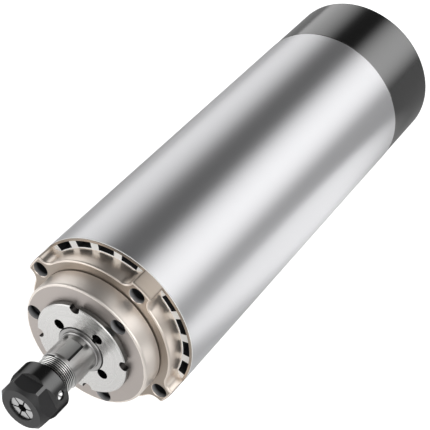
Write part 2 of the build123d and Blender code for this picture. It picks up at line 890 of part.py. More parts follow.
save(stator_winding.part, "stator_winding")

# Rotor
with BuildPart() as rotor_core:
    turn_bar(shaft_core_radius + seat_gap, rotor_radius, stator_station, stator_end)
save(rotor_core.part, "rotor_core")

with BuildPart() as rotor_end_rings:
    ring_bore = rotor_radius - end_ring_wall
    turn_bar(ring_bore, rotor_radius, stator_station - end_ring_length, stator_station)
    turn_bar(ring_bore, rotor_radius, stator_end, stator_end + end_ring_length)
save(rotor_end_rings.part, "rotor_end_rings")

# Rear bracket: a hub for the bearing, a spigot in the tube, and open air windows
with BuildPart() as rear_bracket:
    turn_bar(0, rear_flange_radius, tube_rear, rear_flange_face)
    turn_bar(0, spigot_radius, tube_rear - rear_spigot_length, tube_rear)
    turn_bar(0, rear_seat_radius + bearing_wall, rear_bearing_face, tube_rear)
    with BuildSketch(across_rear(tube_rear)):
        with PolarLocations(boss_screw_circle, boss_count, -boss_angle):
            Circle(rear_lobe_radius)
        Circle(cap_radius - cap_wall - spigot_gap, mode=Mode.INTERSECT)
    extrude(amount=rear_flange_thickness)
    pocket_angles = [pocket_angle + pocket * quarter for pocket in range(boss_count)]
    with BuildSketch(across(rear_bearing_face)):
        add(ring_sectors(
            rear_window_inner_radius, rear_window_outer_radius, pocket_angles, rear_window_angle
        ))
    extrude(amount=rear_bearing_face - rear_flange_face, mode=Mode.SUBTRACT)
    with BuildSketch(across(tube_rear)):
        add(ring_sectors(
            rear_window_inner_radius, tube_radius, pocket_angles, rear_window_angle
        ))
    extrude(amount=-rear_flange_thickness, mode=Mode.SUBTRACT)
    turn_bar(0, rear_seat_radius + seat_gap, rear_bearing_face, spring_end, Mode.SUBTRACT)
    rear_shoulder = rear_seat_radius - rear_shoulder_height
    turn_bar(0, rear_shoulder, spring_end, rear_flange_face, Mode.SUBTRACT)
    drill(
        screw_radius + thread_gap, tube_rear, rear_flange_face,
        boss_screw_circle, boss_count, boss_angle,
    )
save(rear_bracket.part, "rear_bracket")

# Cooling fan: a back plate with swept blades
with BuildPart() as cooling_fan:
    turn_bar(fan_seat_radius + seat_gap, fan_radius, fan_face, fan_face + fan_plate)
    turn_bar(fan_seat_radius + seat_gap, fan_hub_radius, fan_face + fan_plate, fan_hub_end)
    blade_root = (fan_hub_radius + fan_seat_radius) / 2
    blade_middle = (blade_root + fan_radius) / 2
    with BuildSketch(across_rear(fan_face + fan_plate)) as blades:
        for blade in range(fan_blade_count):
            lead_angle = blade * 360 / fan_blade_count
            middle_angle = lead_angle + fan_blade_sweep * fan_blade_curve
            tip_angle = lead_angle + fan_blade_sweep
            with BuildLine():
                front_side = ThreePointArc(
                    polar(blade_root, lead_angle),
                    polar(blade_middle, middle_angle),
                    polar(fan_radius, tip_angle),
                )
                back_side = ThreePointArc(
                    polar(blade_root, lead_angle + fan_blade_angle * 2),
                    polar(blade_middle, middle_angle + fan_blade_angle),
                    polar(fan_radius, tip_angle + fan_blade_angle / 2),
                )
                Line(front_side @ 0, back_side @ 0)
                Line(front_side @ 1, back_side @ 1)
            make_face()
    extrude(amount=fan_blade_height)
save(cooling_fan.part, "cooling_fan")

with BuildPart() as fan_nut:
    with BuildSketch(across_rear(fan_hub_end)):
        RegularPolygon(fan_nut_flats / 2, 6, major_radius=False)
        Circle(fan_thread_radius + thread_gap, mode=Mode.SUBTRACT)
    extrude(amount=fan_nut_height)
save(fan_nut.part, "fan_nut")

# Rear cap with its air inlets
with BuildPart() as rear_cap:
    turn_bar(0, cap_radius, tube_rear, cap_rear)
    rear_rim = rear_cap.edges().filter_by(GeomType.CIRCLE).sort_by(Axis.Y)[-1]
    fillet(rear_rim, cap_edge_fillet)
    joint_rim = rear_cap.edges().filter_by(GeomType.CIRCLE).sort_by(Axis.Y)[0]
    chamfer(joint_rim, joint_chamfer)
    turn_bar(0, cap_radius - cap_wall, tube_rear, cap_inside, Mode.SUBTRACT)
    with BuildSketch(across_rear(rear_flange_face)) as pillars:
        with PolarLocations(boss_screw_circle, boss_count, -boss_angle):
            Circle(cap_pillar_radius)
        Circle(cap_radius - cap_wall / 2, mode=Mode.INTERSECT)
    extrude(amount=cap_inside - rear_flange_face)
    cap_screw_seat = cap_rear - cap_screw_sink - screw_head_height
    drill(
        screw_radius + thread_gap, rear_flange_face, cap_screw_seat,
        boss_screw_circle, boss_count, boss_angle,
    )
    drill(counterbore_radius, cap_screw_seat, cap_rear, boss_screw_circle, boss_count, boss_angle)
    inlet_length = inlet_outer_radius - inlet_inner_radius
    with BuildSketch(across_rear(cap_inside)):
        with PolarLocations((inlet_outer_radius + inlet_inner_radius) / 2, inlet_count):
            SlotOverall(inlet_length, inlet_width)
        Circle(connector_radius + thread_gap)
    extrude(amount=cap_end_wall, mode=Mode.SUBTRACT)
save(rear_cap.part, "rear_cap")

with BuildPart() as cap_screws:
    cap_screw_length = cap_screw_seat - tube_rear + cap_screw_reach
    sink_screws(
        across_rear(cap_screw_seat), boss_screw_circle, boss_count, -boss_angle, cap_screw_length
    )
save(cap_screws.part, "cap_screws")

# Power connector
with BuildPart() as connector_shell:
    turn_bar(connector_bore_radius, connector_radius, connector_front, connector_rear)
    turn_bar(connector_bore_radius, connector_flange_radius, cap_rear, connector_flange_end)
    with BuildSketch(across_rear(insert_end)):
        with Locations((0, -connector_bore_radius)):
            Rectangle(connector_key_width, connector_key_height * 2)
    extrude(amount=connector_rear - insert_end)
save(connector_shell.part, "connector_shell")

with BuildPart() as connector_nut:
    with BuildSketch(across(cap_inside)):
        RegularPolygon(connector_nut_flats / 2, 6, major_radius=False)
        Circle(connector_radius + thread_gap, mode=Mode.SUBTRACT)
    extrude(amount=connector_nut_height)
save(connector_nut.part, "connector_nut")

with BuildPart() as connector_insert:
    turn_bar(0, connector_bore_radius - seat_gap, insert_front, insert_end)
    drill(pin_radius + seat_gap, insert_front, insert_end, pin_place_radius, pin_count, 0)
save(connector_insert.part, "connector_insert")

with BuildPart() as connector_pins:
    with BuildSketch(across_rear(pin_front)):
        with PolarLocations(pin_place_radius, pin_count):
            Circle(pin_radius)
    extrude(amount=connector_rear - pin_recess - pin_front)
    tips = connector_pins.edges().filter_by(GeomType.CIRCLE).group_by(Axis.Y)[-1]
    chamfer(tips, pin_tip_chamfer)
save(connector_pins.part, "connector_pins")


def lead(points, radii):
    """A round wire along straight runs joined by arcs."""
    with BuildLine():
        route = FilletPolyline(*points, radius=radii)
    with BuildSketch(Plane(origin=route @ 0, z_dir=route % 0)) as section:
        Circle(lead_radius)
    sweep(section.sketch, path=route)


# Phase leads: from the rear end bundle, out round the fan, and in to the pins
with BuildPart() as phase_leads:
    for phase in range(phase_count):
        pin_angle = phase * 360 / pin_count
        angle = pocket_angle + (phase - (phase_count - 1) / 2) * lead_spread
        lead([
            at(lead_start_circle, angle, winding_end),
            at(lead_start_circle, angle, tube_rear - lead_turn_back),
            at(lead_outer_circle, angle, fan_face + lead_turn_back),
            at(lead_outer_circle, angle, lead_run_station),
            at(pin_place_radius, pin_angle, lead_run_station),
            at(pin_place_radius, pin_angle, pin_front),
        ], [lead_bend, lead_bend, lead_corner, lead_pin_bend])
save(phase_leads.part, "phase_leads")

# Earth lead: from the rear bracket's face to the last pin
with BuildPart() as earth_lead:
    earth_pin_angle = phase_count * 360 / pin_count
    lead([
        at(earth_lead_circle, earth_lead_angle, rear_flange_face),
        at(earth_lead_circle, earth_lead_angle, lead_run_station),
        at(pin_place_radius, earth_pin_angle, lead_run_station),
        at(pin_place_radius, earth_pin_angle, pin_front),
    ], [lead_corner, lead_pin_bend])
save(earth_lead.part, "earth_lead")
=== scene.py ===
import json
from math import acos, atan2, cos, degrees, pi, radians, sin, sqrt, tan

import bmesh
import bpy
from mathutils import Matrix, Vector


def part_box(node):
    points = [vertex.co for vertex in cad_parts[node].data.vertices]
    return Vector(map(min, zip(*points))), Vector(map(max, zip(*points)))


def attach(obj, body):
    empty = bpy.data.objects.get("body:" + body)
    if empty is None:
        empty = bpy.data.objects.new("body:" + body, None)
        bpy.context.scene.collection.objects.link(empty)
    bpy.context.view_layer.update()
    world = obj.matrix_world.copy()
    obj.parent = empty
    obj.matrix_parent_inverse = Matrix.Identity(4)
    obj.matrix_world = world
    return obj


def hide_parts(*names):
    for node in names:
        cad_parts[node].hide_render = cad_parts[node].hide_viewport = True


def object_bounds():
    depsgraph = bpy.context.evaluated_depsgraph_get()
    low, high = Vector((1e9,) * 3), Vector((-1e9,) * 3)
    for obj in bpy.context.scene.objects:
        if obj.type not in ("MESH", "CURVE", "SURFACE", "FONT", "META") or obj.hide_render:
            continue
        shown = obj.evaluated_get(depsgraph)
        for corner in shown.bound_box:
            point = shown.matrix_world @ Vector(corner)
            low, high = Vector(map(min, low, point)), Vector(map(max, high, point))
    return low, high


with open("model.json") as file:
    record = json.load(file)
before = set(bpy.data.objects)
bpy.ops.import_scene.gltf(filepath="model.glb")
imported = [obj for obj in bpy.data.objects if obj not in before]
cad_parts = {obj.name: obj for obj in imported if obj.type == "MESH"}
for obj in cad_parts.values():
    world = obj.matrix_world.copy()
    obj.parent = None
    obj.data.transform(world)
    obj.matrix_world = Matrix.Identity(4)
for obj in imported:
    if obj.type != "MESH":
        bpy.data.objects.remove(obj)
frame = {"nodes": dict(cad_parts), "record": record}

bl_info = {
    "name": "Motor spindle dressing",
    "version": (1, 0, 0),
    "blender": (4, 5, 0),
    "location": "3D View > Sidebar > Spindle",
    "description": "Builds the visible pieces and finishes of a 65 mm motor spindle",
    "category": "Object",
}

# The shaft line is the Y axis, the nose points to -Y and +Z is up. Angles are counted from +X
# towards +Z. Sizes in the code are millimetres, and MM turns them into Blender's metres. Points
# closer than MERGE become one. A face is part of a flat front where its middle lies within
# ON_FACE of it, and of a round wall, which has flat facets, where it lies within SLACK, in mm.
MM = 0.001
MERGE = 0.002 * MM
ON_FACE = 0.002
SLACK = 0.02
CAD_BOX = [list(corner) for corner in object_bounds()]
BODY_OF = {
    node: body
    for body, nodes in frame["record"]["behaviour"]["bodies"].items()
    for node in nodes
}
SLOT_OF = {part["node"]: part["material_slot"] for part in frame["record"]["subparts"]}


def linear(hex_colour):
    """An sRGB hex colour as linear red, green and blue."""
    shares = [int(hex_colour[place:place + 2], 16) / 255 for place in (1, 3, 5)]
    return [s / 12.92 if s <= 0.04045 else ((s + 0.055) / 1.055) ** 2.4 for s in shares]


def station(node, end):
    """Where a CAD node starts (end 0) or ends (end 1) along the shaft line, in mm."""
    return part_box(node)[end].y / MM


# Sizes and colours that a user would change


class SpindleSizes(bpy.types.PropertyGroup):
    """Sizes of the pieces that the dressing makes itself."""

    tube_radius: bpy.props.FloatProperty(
        name="Tube radius", description="Outside radius of the body tube",
        default=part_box("body_tube")[1].x, unit="LENGTH",
    )
    edge_break: bpy.props.FloatProperty(
        name="Edge break", description="Width of the small bevel on machined edges",
        default=0.15 * MM, unit="LENGTH",
    )
    nose_thread_pitch: bpy.props.FloatProperty(
        name="Nose thread pitch", description="Pitch of the thread that carries the collet nut",
        default=0.75 * MM, unit="LENGTH",
    )
    socket_thread_pitch: bpy.props.FloatProperty(
        name="Socket thread pitch", description="Pitch of the thread on the power socket",
        default=1.0 * MM, unit="LENGTH",
    )
    screw_head: bpy.props.FloatProperty(
        name="Screw head radius", description="Radius of the socket-head screws' heads",
        default=2.75 * MM, unit="LENGTH",
    )
    screw_hexagon: bpy.props.FloatProperty(
        name="Screw hexagon", description="Width across the flats of the screws' sockets",
        default=2.5 * MM, unit="LENGTH",
    )
    floor_size: bpy.props.FloatProperty(
        name="Floor size", description="Side of the square floor",
        default=6.0, unit="LENGTH",
    )


class SpindleColours(bpy.types.PropertyGroup):
    """Colours of the main finishes."""

    tube: bpy.props.FloatVectorProperty(
        name="Tube", description="Satin aluminium of the body tube",
        default=linear("#D9D9DB"), subtype="COLOR", size=3, min=0, max=1,
    )
    bracket: bpy.props.FloatVectorProperty(
        name="Bracket", description="Pale champagne anodising of the front bracket",
        default=linear("#F0E5DA"), subtype="COLOR", size=3, min=0, max=1,
    )
    cover: bpy.props.FloatVectorProperty(
        name="Cover", description="Turned aluminium of the bearing cover",
        default=linear("#F6EEE6"), subtype="COLOR", size=3, min=0, max=1,
    )
    lock_ring: bpy.props.FloatVectorProperty(
        name="Lock ring", description="Bare turned aluminium of the lock ring",
        default=linear("#DEDDDB"), subtype="COLOR", size=3, min=0, max=1,
    )
    steel: bpy.props.FloatVectorProperty(
        name="Ground steel", description="Polished steel of the shaft's nose",
        default=linear("#ABAAA9"), subtype="COLOR", size=3, min=0, max=1,
    )
    black_oxide: bpy.props.FloatVectorProperty(
        name="Black oxide", description="Blackened steel of the collet nut",
        default=linear("#606060"), subtype="COLOR", size=3, min=0, max=1,
    )
    cap: bpy.props.FloatVectorProperty(
        name="Rear cap", description="Gloss black anodising of the rear cap",
        default=linear("#707070"), subtype="COLOR", size=3, min=0, max=1,
    )
    floor: bpy.props.FloatVectorProperty(
        name="Floor", description="Plain pale floor",
        default=linear("#C8C8C8"), subtype="COLOR", size=3, min=0, max=1,
    )


# Meshes


def plain_mesh(name, vertices, faces, sharp=35.0):
    """A piece from vertices in mm, with doubles merged, faces outwards and edges marked sharp."""
    mesh = bpy.data.meshes.new(name)
    mesh.from_pydata([Vector(v) * MM for v in vertices], [], faces)
    tidy_mesh(mesh, sharp)
    piece = bpy.data.objects.new(name, mesh)
    bpy.context.scene.collection.objects.link(piece)
    return piece


def tidy_mesh(mesh, sharp, flat=0.0):
    """Merge doubles, join flat triangles, turn faces outwards and mark the sharp edges."""
    work = bmesh.new()
    work.from_mesh(mesh)
    bmesh.ops.remove_doubles(work, verts=work.verts, dist=MERGE)
    if flat:
        bmesh.ops.dissolve_limit(
            work, angle_limit=radians(flat), verts=work.verts, edges=work.edges
        )
    bmesh.ops.recalc_face_normals(work, faces=work.faces)
    for face in work.faces:
        face.smooth = True
    for edge in work.edges:
        edge.smooth = not (edge.is_manifold and edge.calc_face_angle(0) > radians(sharp))
    work.to_mesh(mesh)
    work.free()


def settle(piece):
    """Make the evaluated shape the piece's own plain mesh."""
    depsgraph = bpy.context.evaluated_depsgraph_get()
    done = bpy.data.meshes.new_from_object(
        piece.evaluated_get(depsgraph), preserve_all_data_layers=True, depsgraph=depsgraph
    )
    piece.modifiers.clear()
    piece.data = done


# Node trees


def add_node(tree, kind, inputs=None, **settings):
    """Add a node with its settings. An input is a value, or the output that feeds it."""
    node = tree.nodes.new(kind)
    for setting, value in settings.items():
        setattr(node, setting, value)
    for socket, value in (inputs or {}).items():
        if isinstance(value, bpy.types.NodeSocket):
            tree.links.new(value, node.inputs[socket])
        else:
            node.inputs[socket].default_value = value
    return node


def new_tree(name, inputs):
    """A Geometry Nodes tree with named inputs, and its input and output nodes."""
    tree = bpy.data.node_groups.new(name, "GeometryNodeTree")
    for label, kind in inputs.items():
        tree.interface.new_socket(label, in_out="INPUT", socket_type=kind)
    tree.interface.new_socket("Geometry", in_out="OUTPUT", socket_type="NodeSocketGeometry")
    start = add_node(tree, "NodeGroupInput")
    return tree, start


def end_tree(tree, geometry, material):
    """Realize what the tree made and give it its material."""
    real = add_node(tree, "GeometryNodeRealizeInstances", {"Geometry": geometry})
    coloured = add_node(tree, "GeometryNodeSetMaterial", {
        "Geometry": real.outputs["Geometry"], "Material": material,
    })
    add_node(tree, "NodeGroupOutput", {"Geometry": coloured.outputs["Geometry"]})


def run_tree(piece, tree, values):
    """Put a tree on a piece with these inputs and keep the result as a plain mesh."""
    modifier = piece.modifiers.new(tree.name, "NODES")
    modifier.node_group = tree
    for item in tree.interface.items_tree:
        if item.in_out == "INPUT" and item.name in values:
            modifier[item.identifier] = values[item.name]
    settle(piece)


def ring_tree():
    """Repeats the piece, made at angle 0, round the shaft line."""
    tree, start = new_tree("repeat_round_shaft", {
        "Geometry": "NodeSocketGeometry",
        "Count": "NodeSocketInt",
        "First Angle": "NodeSocketFloat",
        "Material": "NodeSocketMaterial",
    })
    points = add_node(tree, "GeometryNodePoints", {"Count": start.outputs["Count"]})
    place = add_node(tree, "GeometryNodeInputIndex")
    step = add_node(
        tree, "ShaderNodeMath", {0: 2 * pi, 1: start.outputs["Count"]}, operation="DIVIDE"
    )
    angle = add_node(tree, "ShaderNodeMath", {
        0: place.outputs[0], 1: step.outputs[0], 2: start.outputs["First Angle"],
    }, operation="MULTIPLY_ADD")
    turn = add_node(tree, "ShaderNodeMath", {0: angle.outputs[0], 1: -1}, operation="MULTIPLY")
    rotation = add_node(tree, "ShaderNodeCombineXYZ", {"Y": turn.outputs[0]})
    copies = add_node(tree, "GeometryNodeInstanceOnPoints", {
        "Points": points.outputs[0], "Instance": start.outputs["Geometry"],
        "Rotation": rotation.outputs[0],
    })
    end_tree(tree, copies.outputs[0], start.outputs["Material"])
    return tree


def thread_tree():
    """A right-hand thread along the shaft line: a four-cornered ridge on a helix."""
    tree, start = new_tree("thread_ridge", {
        "Geometry": "NodeSocketGeometry",
        "Radius": "NodeSocketFloat",
        "Start": "NodeSocketFloat",
        "Length": "NodeSocketFloat",
        "Pitch": "NodeSocketFloat",
        "Ridge": "NodeSocketFloat",
        "Material": "NodeSocketMaterial",
    })
    turns = add_node(tree, "ShaderNodeMath", {
        0: start.outputs["Length"], 1: start.outputs["Pitch"],
    }, operation="DIVIDE")
    helix = add_node(tree, "GeometryNodeCurveSpiral", {
        "Resolution": 64, "Rotations": turns.outputs[0], "Start Radius": start.outputs["Radius"],
        "End Radius": start.outputs["Radius"], "Height": start.outputs["Length"],
    })
    upright = add_node(
        tree, "GeometryNodeSetCurveNormal", {"Curve": helix.outputs[0]}, mode="Z_UP"
    )
    section = add_node(tree, "GeometryNodeCurvePrimitiveCircle", {
        "Resolution": 4, "Radius": start.outputs["Ridge"],
    })
    ridge = add_node(tree, "GeometryNodeCurveToMesh", {
        "Curve": upright.outputs[0], "Profile Curve": section.outputs[0], "Fill Caps": True,
    })
    along = add_node(tree, "ShaderNodeCombineXYZ", {"Y": start.outputs["Start"]})
    laid = add_node(tree, "GeometryNodeTransform", {
        "Geometry": ridge.outputs[0], "Translation": along.outputs[0],
        "Rotation": (-pi / 2, 0, 0),
    })
    flat = add_node(tree, "GeometryNodeSetShadeSmooth", {
        "Geometry": laid.outputs[0], "Shade Smooth": False,
    })
    both = add_node(tree, "GeometryNodeJoinGeometry")
    tree.links.new(start.outputs["Geometry"], both.inputs[0])
    tree.links.new(flat.outputs[0], both.inputs[0])
    end_tree(tree, both.outputs[0], start.outputs["Material"])
    return tree


def shared_tree(name, maker):
    """A tree by its name, made the first time that it is asked for."""
    return bpy.data.node_groups.get(name) or maker()


# Finishes


def colour_of(colour):
    """A hex colour, or one of the user's colours by its name, as an opaque linear colour."""
    if colour.startswith("#"):
        return (*linear(colour), 1)
    return (*getattr(bpy.context.scene.spindle_colours, colour), 1)


def new_finish(name, colour, metallic, roughness, **shader_values):
    """A material with its Principled shader, ready for its pattern."""
    material = bpy.data.materials.new(name)
    material.use_nodes = True
    tree = material.node_tree
    tree.nodes.clear()
    shader = add_node(tree, "ShaderNodeBsdfPrincipled", {
        "Base Color": colour_of(colour), "Metallic": metallic, "Roughness": roughness,
        **shader_values,
    })
    add_node(tree, "ShaderNodeOutputMaterial", {"Surface": shader.outputs[0]})
    return material, tree, shader


def object_axes(tree):
    """The X, Y and Z of a point, from Object coordinates."""
    place = add_node(tree, "ShaderNodeTexCoord")
    return add_node(tree, "ShaderNodeSeparateXYZ", {0: place.outputs["Object"]}).outputs


def distance_from_shaft(tree, axes):
    """How far a point lies from the shaft line."""
    across = add_node(tree, "ShaderNodeCombineXYZ", {"X": axes["X"], "Z": axes["Z"]})
    radius = add_node(tree, "ShaderNodeVectorMath", {0: across.outputs[0]}, operation="LENGTH")
    return radius.outputs["Value"]


def graded_colour(tree, shader, share, first, second):
    """Let the base colour go from the first to the second as share goes from 0 to 1."""
    mixed = add_node(tree, "ShaderNodeMix", {
        "Factor": share, "A": colour_of(first), "B": colour_of(second),
    }, data_type="RGBA")
    tree.links.new(mixed.outputs["Result"], shader.inputs["Base Color"])


def marked_surface(tree, shader, marks, relief, variation, roughness):
    """Let marks between 0 and 1 vary the roughness and stand out by relief, in mm."""
    rub = add_node(tree, "ShaderNodeMapRange", {
        "Value": marks, "From Min": 0.3, "From Max": 0.7,
        "To Min": roughness - variation, "To Max": roughness + variation,
    })
    tree.links.new(rub.outputs[0], shader.inputs["Roughness"])
    bump = add_node(tree, "ShaderNodeBump", {
        "Height": marks, "Distance": relief * MM, "Strength": 1.0,
    })
    tree.links.new(bump.outputs[0], shader.inputs["Normal"])


def turned_pattern(tree, shader, pitch, relief, variation, roughness):
    """Tool marks that run round the shaft line, a pitch in mm apart, as a lathe leaves them."""
    axes = object_axes(tree)
    marks = add_node(tree, "ShaderNodeCombineXYZ", {
        "X": distance_from_shaft(tree, axes), "Y": axes["Y"],
    })
    lines = add_node(tree, "ShaderNodeTexNoise", {
        "Vector": marks.outputs[0], "Scale": 1 / (pitch * MM), "Detail": 3.0, "Roughness": 0.6,
    })
    marked_surface(tree, shader, lines.outputs["Fac"], relief, variation, roughness)


def grain_pattern(tree, shader, sizes, relief, variation, roughness):
    """Fine grain, stretched to three grain sizes in mm along X, Y and Z."""
    place = add_node(tree, "ShaderNodeTexCoord")
    scaled = add_node(tree, "ShaderNodeMapping", {
        "Vector": place.outputs["Object"], "Scale": [1 / (size * MM) for size in sizes],
    })
    grain = add_node(tree, "ShaderNodeTexNoise", {
        "Vector": scaled.outputs[0], "Scale": 1.0, "Detail": 4.0, "Roughness": 0.6,
    })
    marked_surface(tree, shader, grain.outputs["Fac"], relief, variation, roughness)


def round_tangent(tree, shader):
    """Tangent that runs round the shaft line, so that turned faces catch light in wedges."""
    axes = object_axes(tree)
    back = add_node(tree, "ShaderNodeMath", {0: axes["Z"], 1: -1}, operation="MULTIPLY")
    around = add_node(tree, "ShaderNodeCombineXYZ", {"X": back.outputs[0], "Z": axes["X"]})
    turned_with = add_node(
        tree, "ShaderNodeVectorTransform", {0: around.outputs[0]},
        vector_type="VECTOR", convert_from="OBJECT", convert_to="WORLD",
    )
    unit = add_node(
        tree, "ShaderNodeVectorMath", {0: turned_with.outputs[0]}, operation="NORMALIZE"
    )
    tree.links.new(unit.outputs[0], shader.inputs["Tangent"])


def patterned_finish(
    name, colour, metallic, roughness, pattern, size, relief, variation, spread=0.0
):
    """A finish with one pattern. spread is how far turned rings draw the light out in wedges."""
    drawn_out = {"Anisotropic": spread, "Anisotropic Rotation": 0.25} if spread else {}
    material, tree, shader = new_finish(name, colour, metallic, roughness, **drawn_out)
    pattern(tree, shader, size, relief, variation, roughness)
    if spread:
        round_tangent(tree, shader)
    return material


def striped_finish(name, colour, metallic, roughness, other, size):
    """A finish in fine even stripes square to the shaft line, as laid wire or stacked sheet."""
    material, tree, shader = new_finish(name, colour, metallic, roughness)
    place = add_node(tree, "ShaderNodeTexCoord")
    stripes = add_node(tree, "ShaderNodeTexWave", {
        "Vector": place.outputs["Object"], "Scale": 2 * pi / (20 * size * MM),
        "Distortion": 0.4, "Detail": 1.0,
    }, wave_type="BANDS", bands_direction="Y")
    graded_colour(tree, shader, stripes.outputs["Fac"], colour, other)
    return material


def nut_finish(name):
    """Turned and blackened steel: its oxide skin is dark and oiled, with a satin gloss."""
    material, tree, shader = new_finish(name, "black_oxide", 0.95, 0.15, **{
        "Specular Tint": colour_of("#7A7A7A"),
    })
    turned_pattern(tree, shader, 0.3, 0.0001, 0.01, 0.15)
    return material


# The finish of each slot of the record
FINISH_OF_SLOT = {
    "brushed_tube": "satin_anodised_tube",
    "champagne_bracket": "champagne_anodised_bracket",
    "turned_cover": "turned_anodised_cover",
    "turned_lock_ring": "bare_turned_lock_ring",
    "black_screws": "black_oxide_screw",
    "bearing_steel": "ground_bearing_steel",
    "bearing_balls": "lapped_ball_steel",
    "bearing_cages": "phenolic_cage",
    "spring_steel": "spring_strip",
    "ground_shaft": "ground_polished_shaft",
    "collet_steel": "ground_collet_steel",
    "blackened_nut": "black_oxide_nut",
    "lamination_steel": "laminated_sheet",
    "winding": "varnished_copper_wire",
    "cast_aluminium": "machined_casting",
    "fan_plastic": "moulded_fan_nylon",
    "zinc_steel": "bright_zinc",
    "black_cap": "gloss_black_cap",
    "connector_metal": "nickel_plate",
    "connector_plastic": "moulded_insert",
    "contact_brass": "plated_contact",
    "lead_sleeve": "silicone_sleeve_red",
    "earth_sleeve": "silicone_sleeve_green",
}

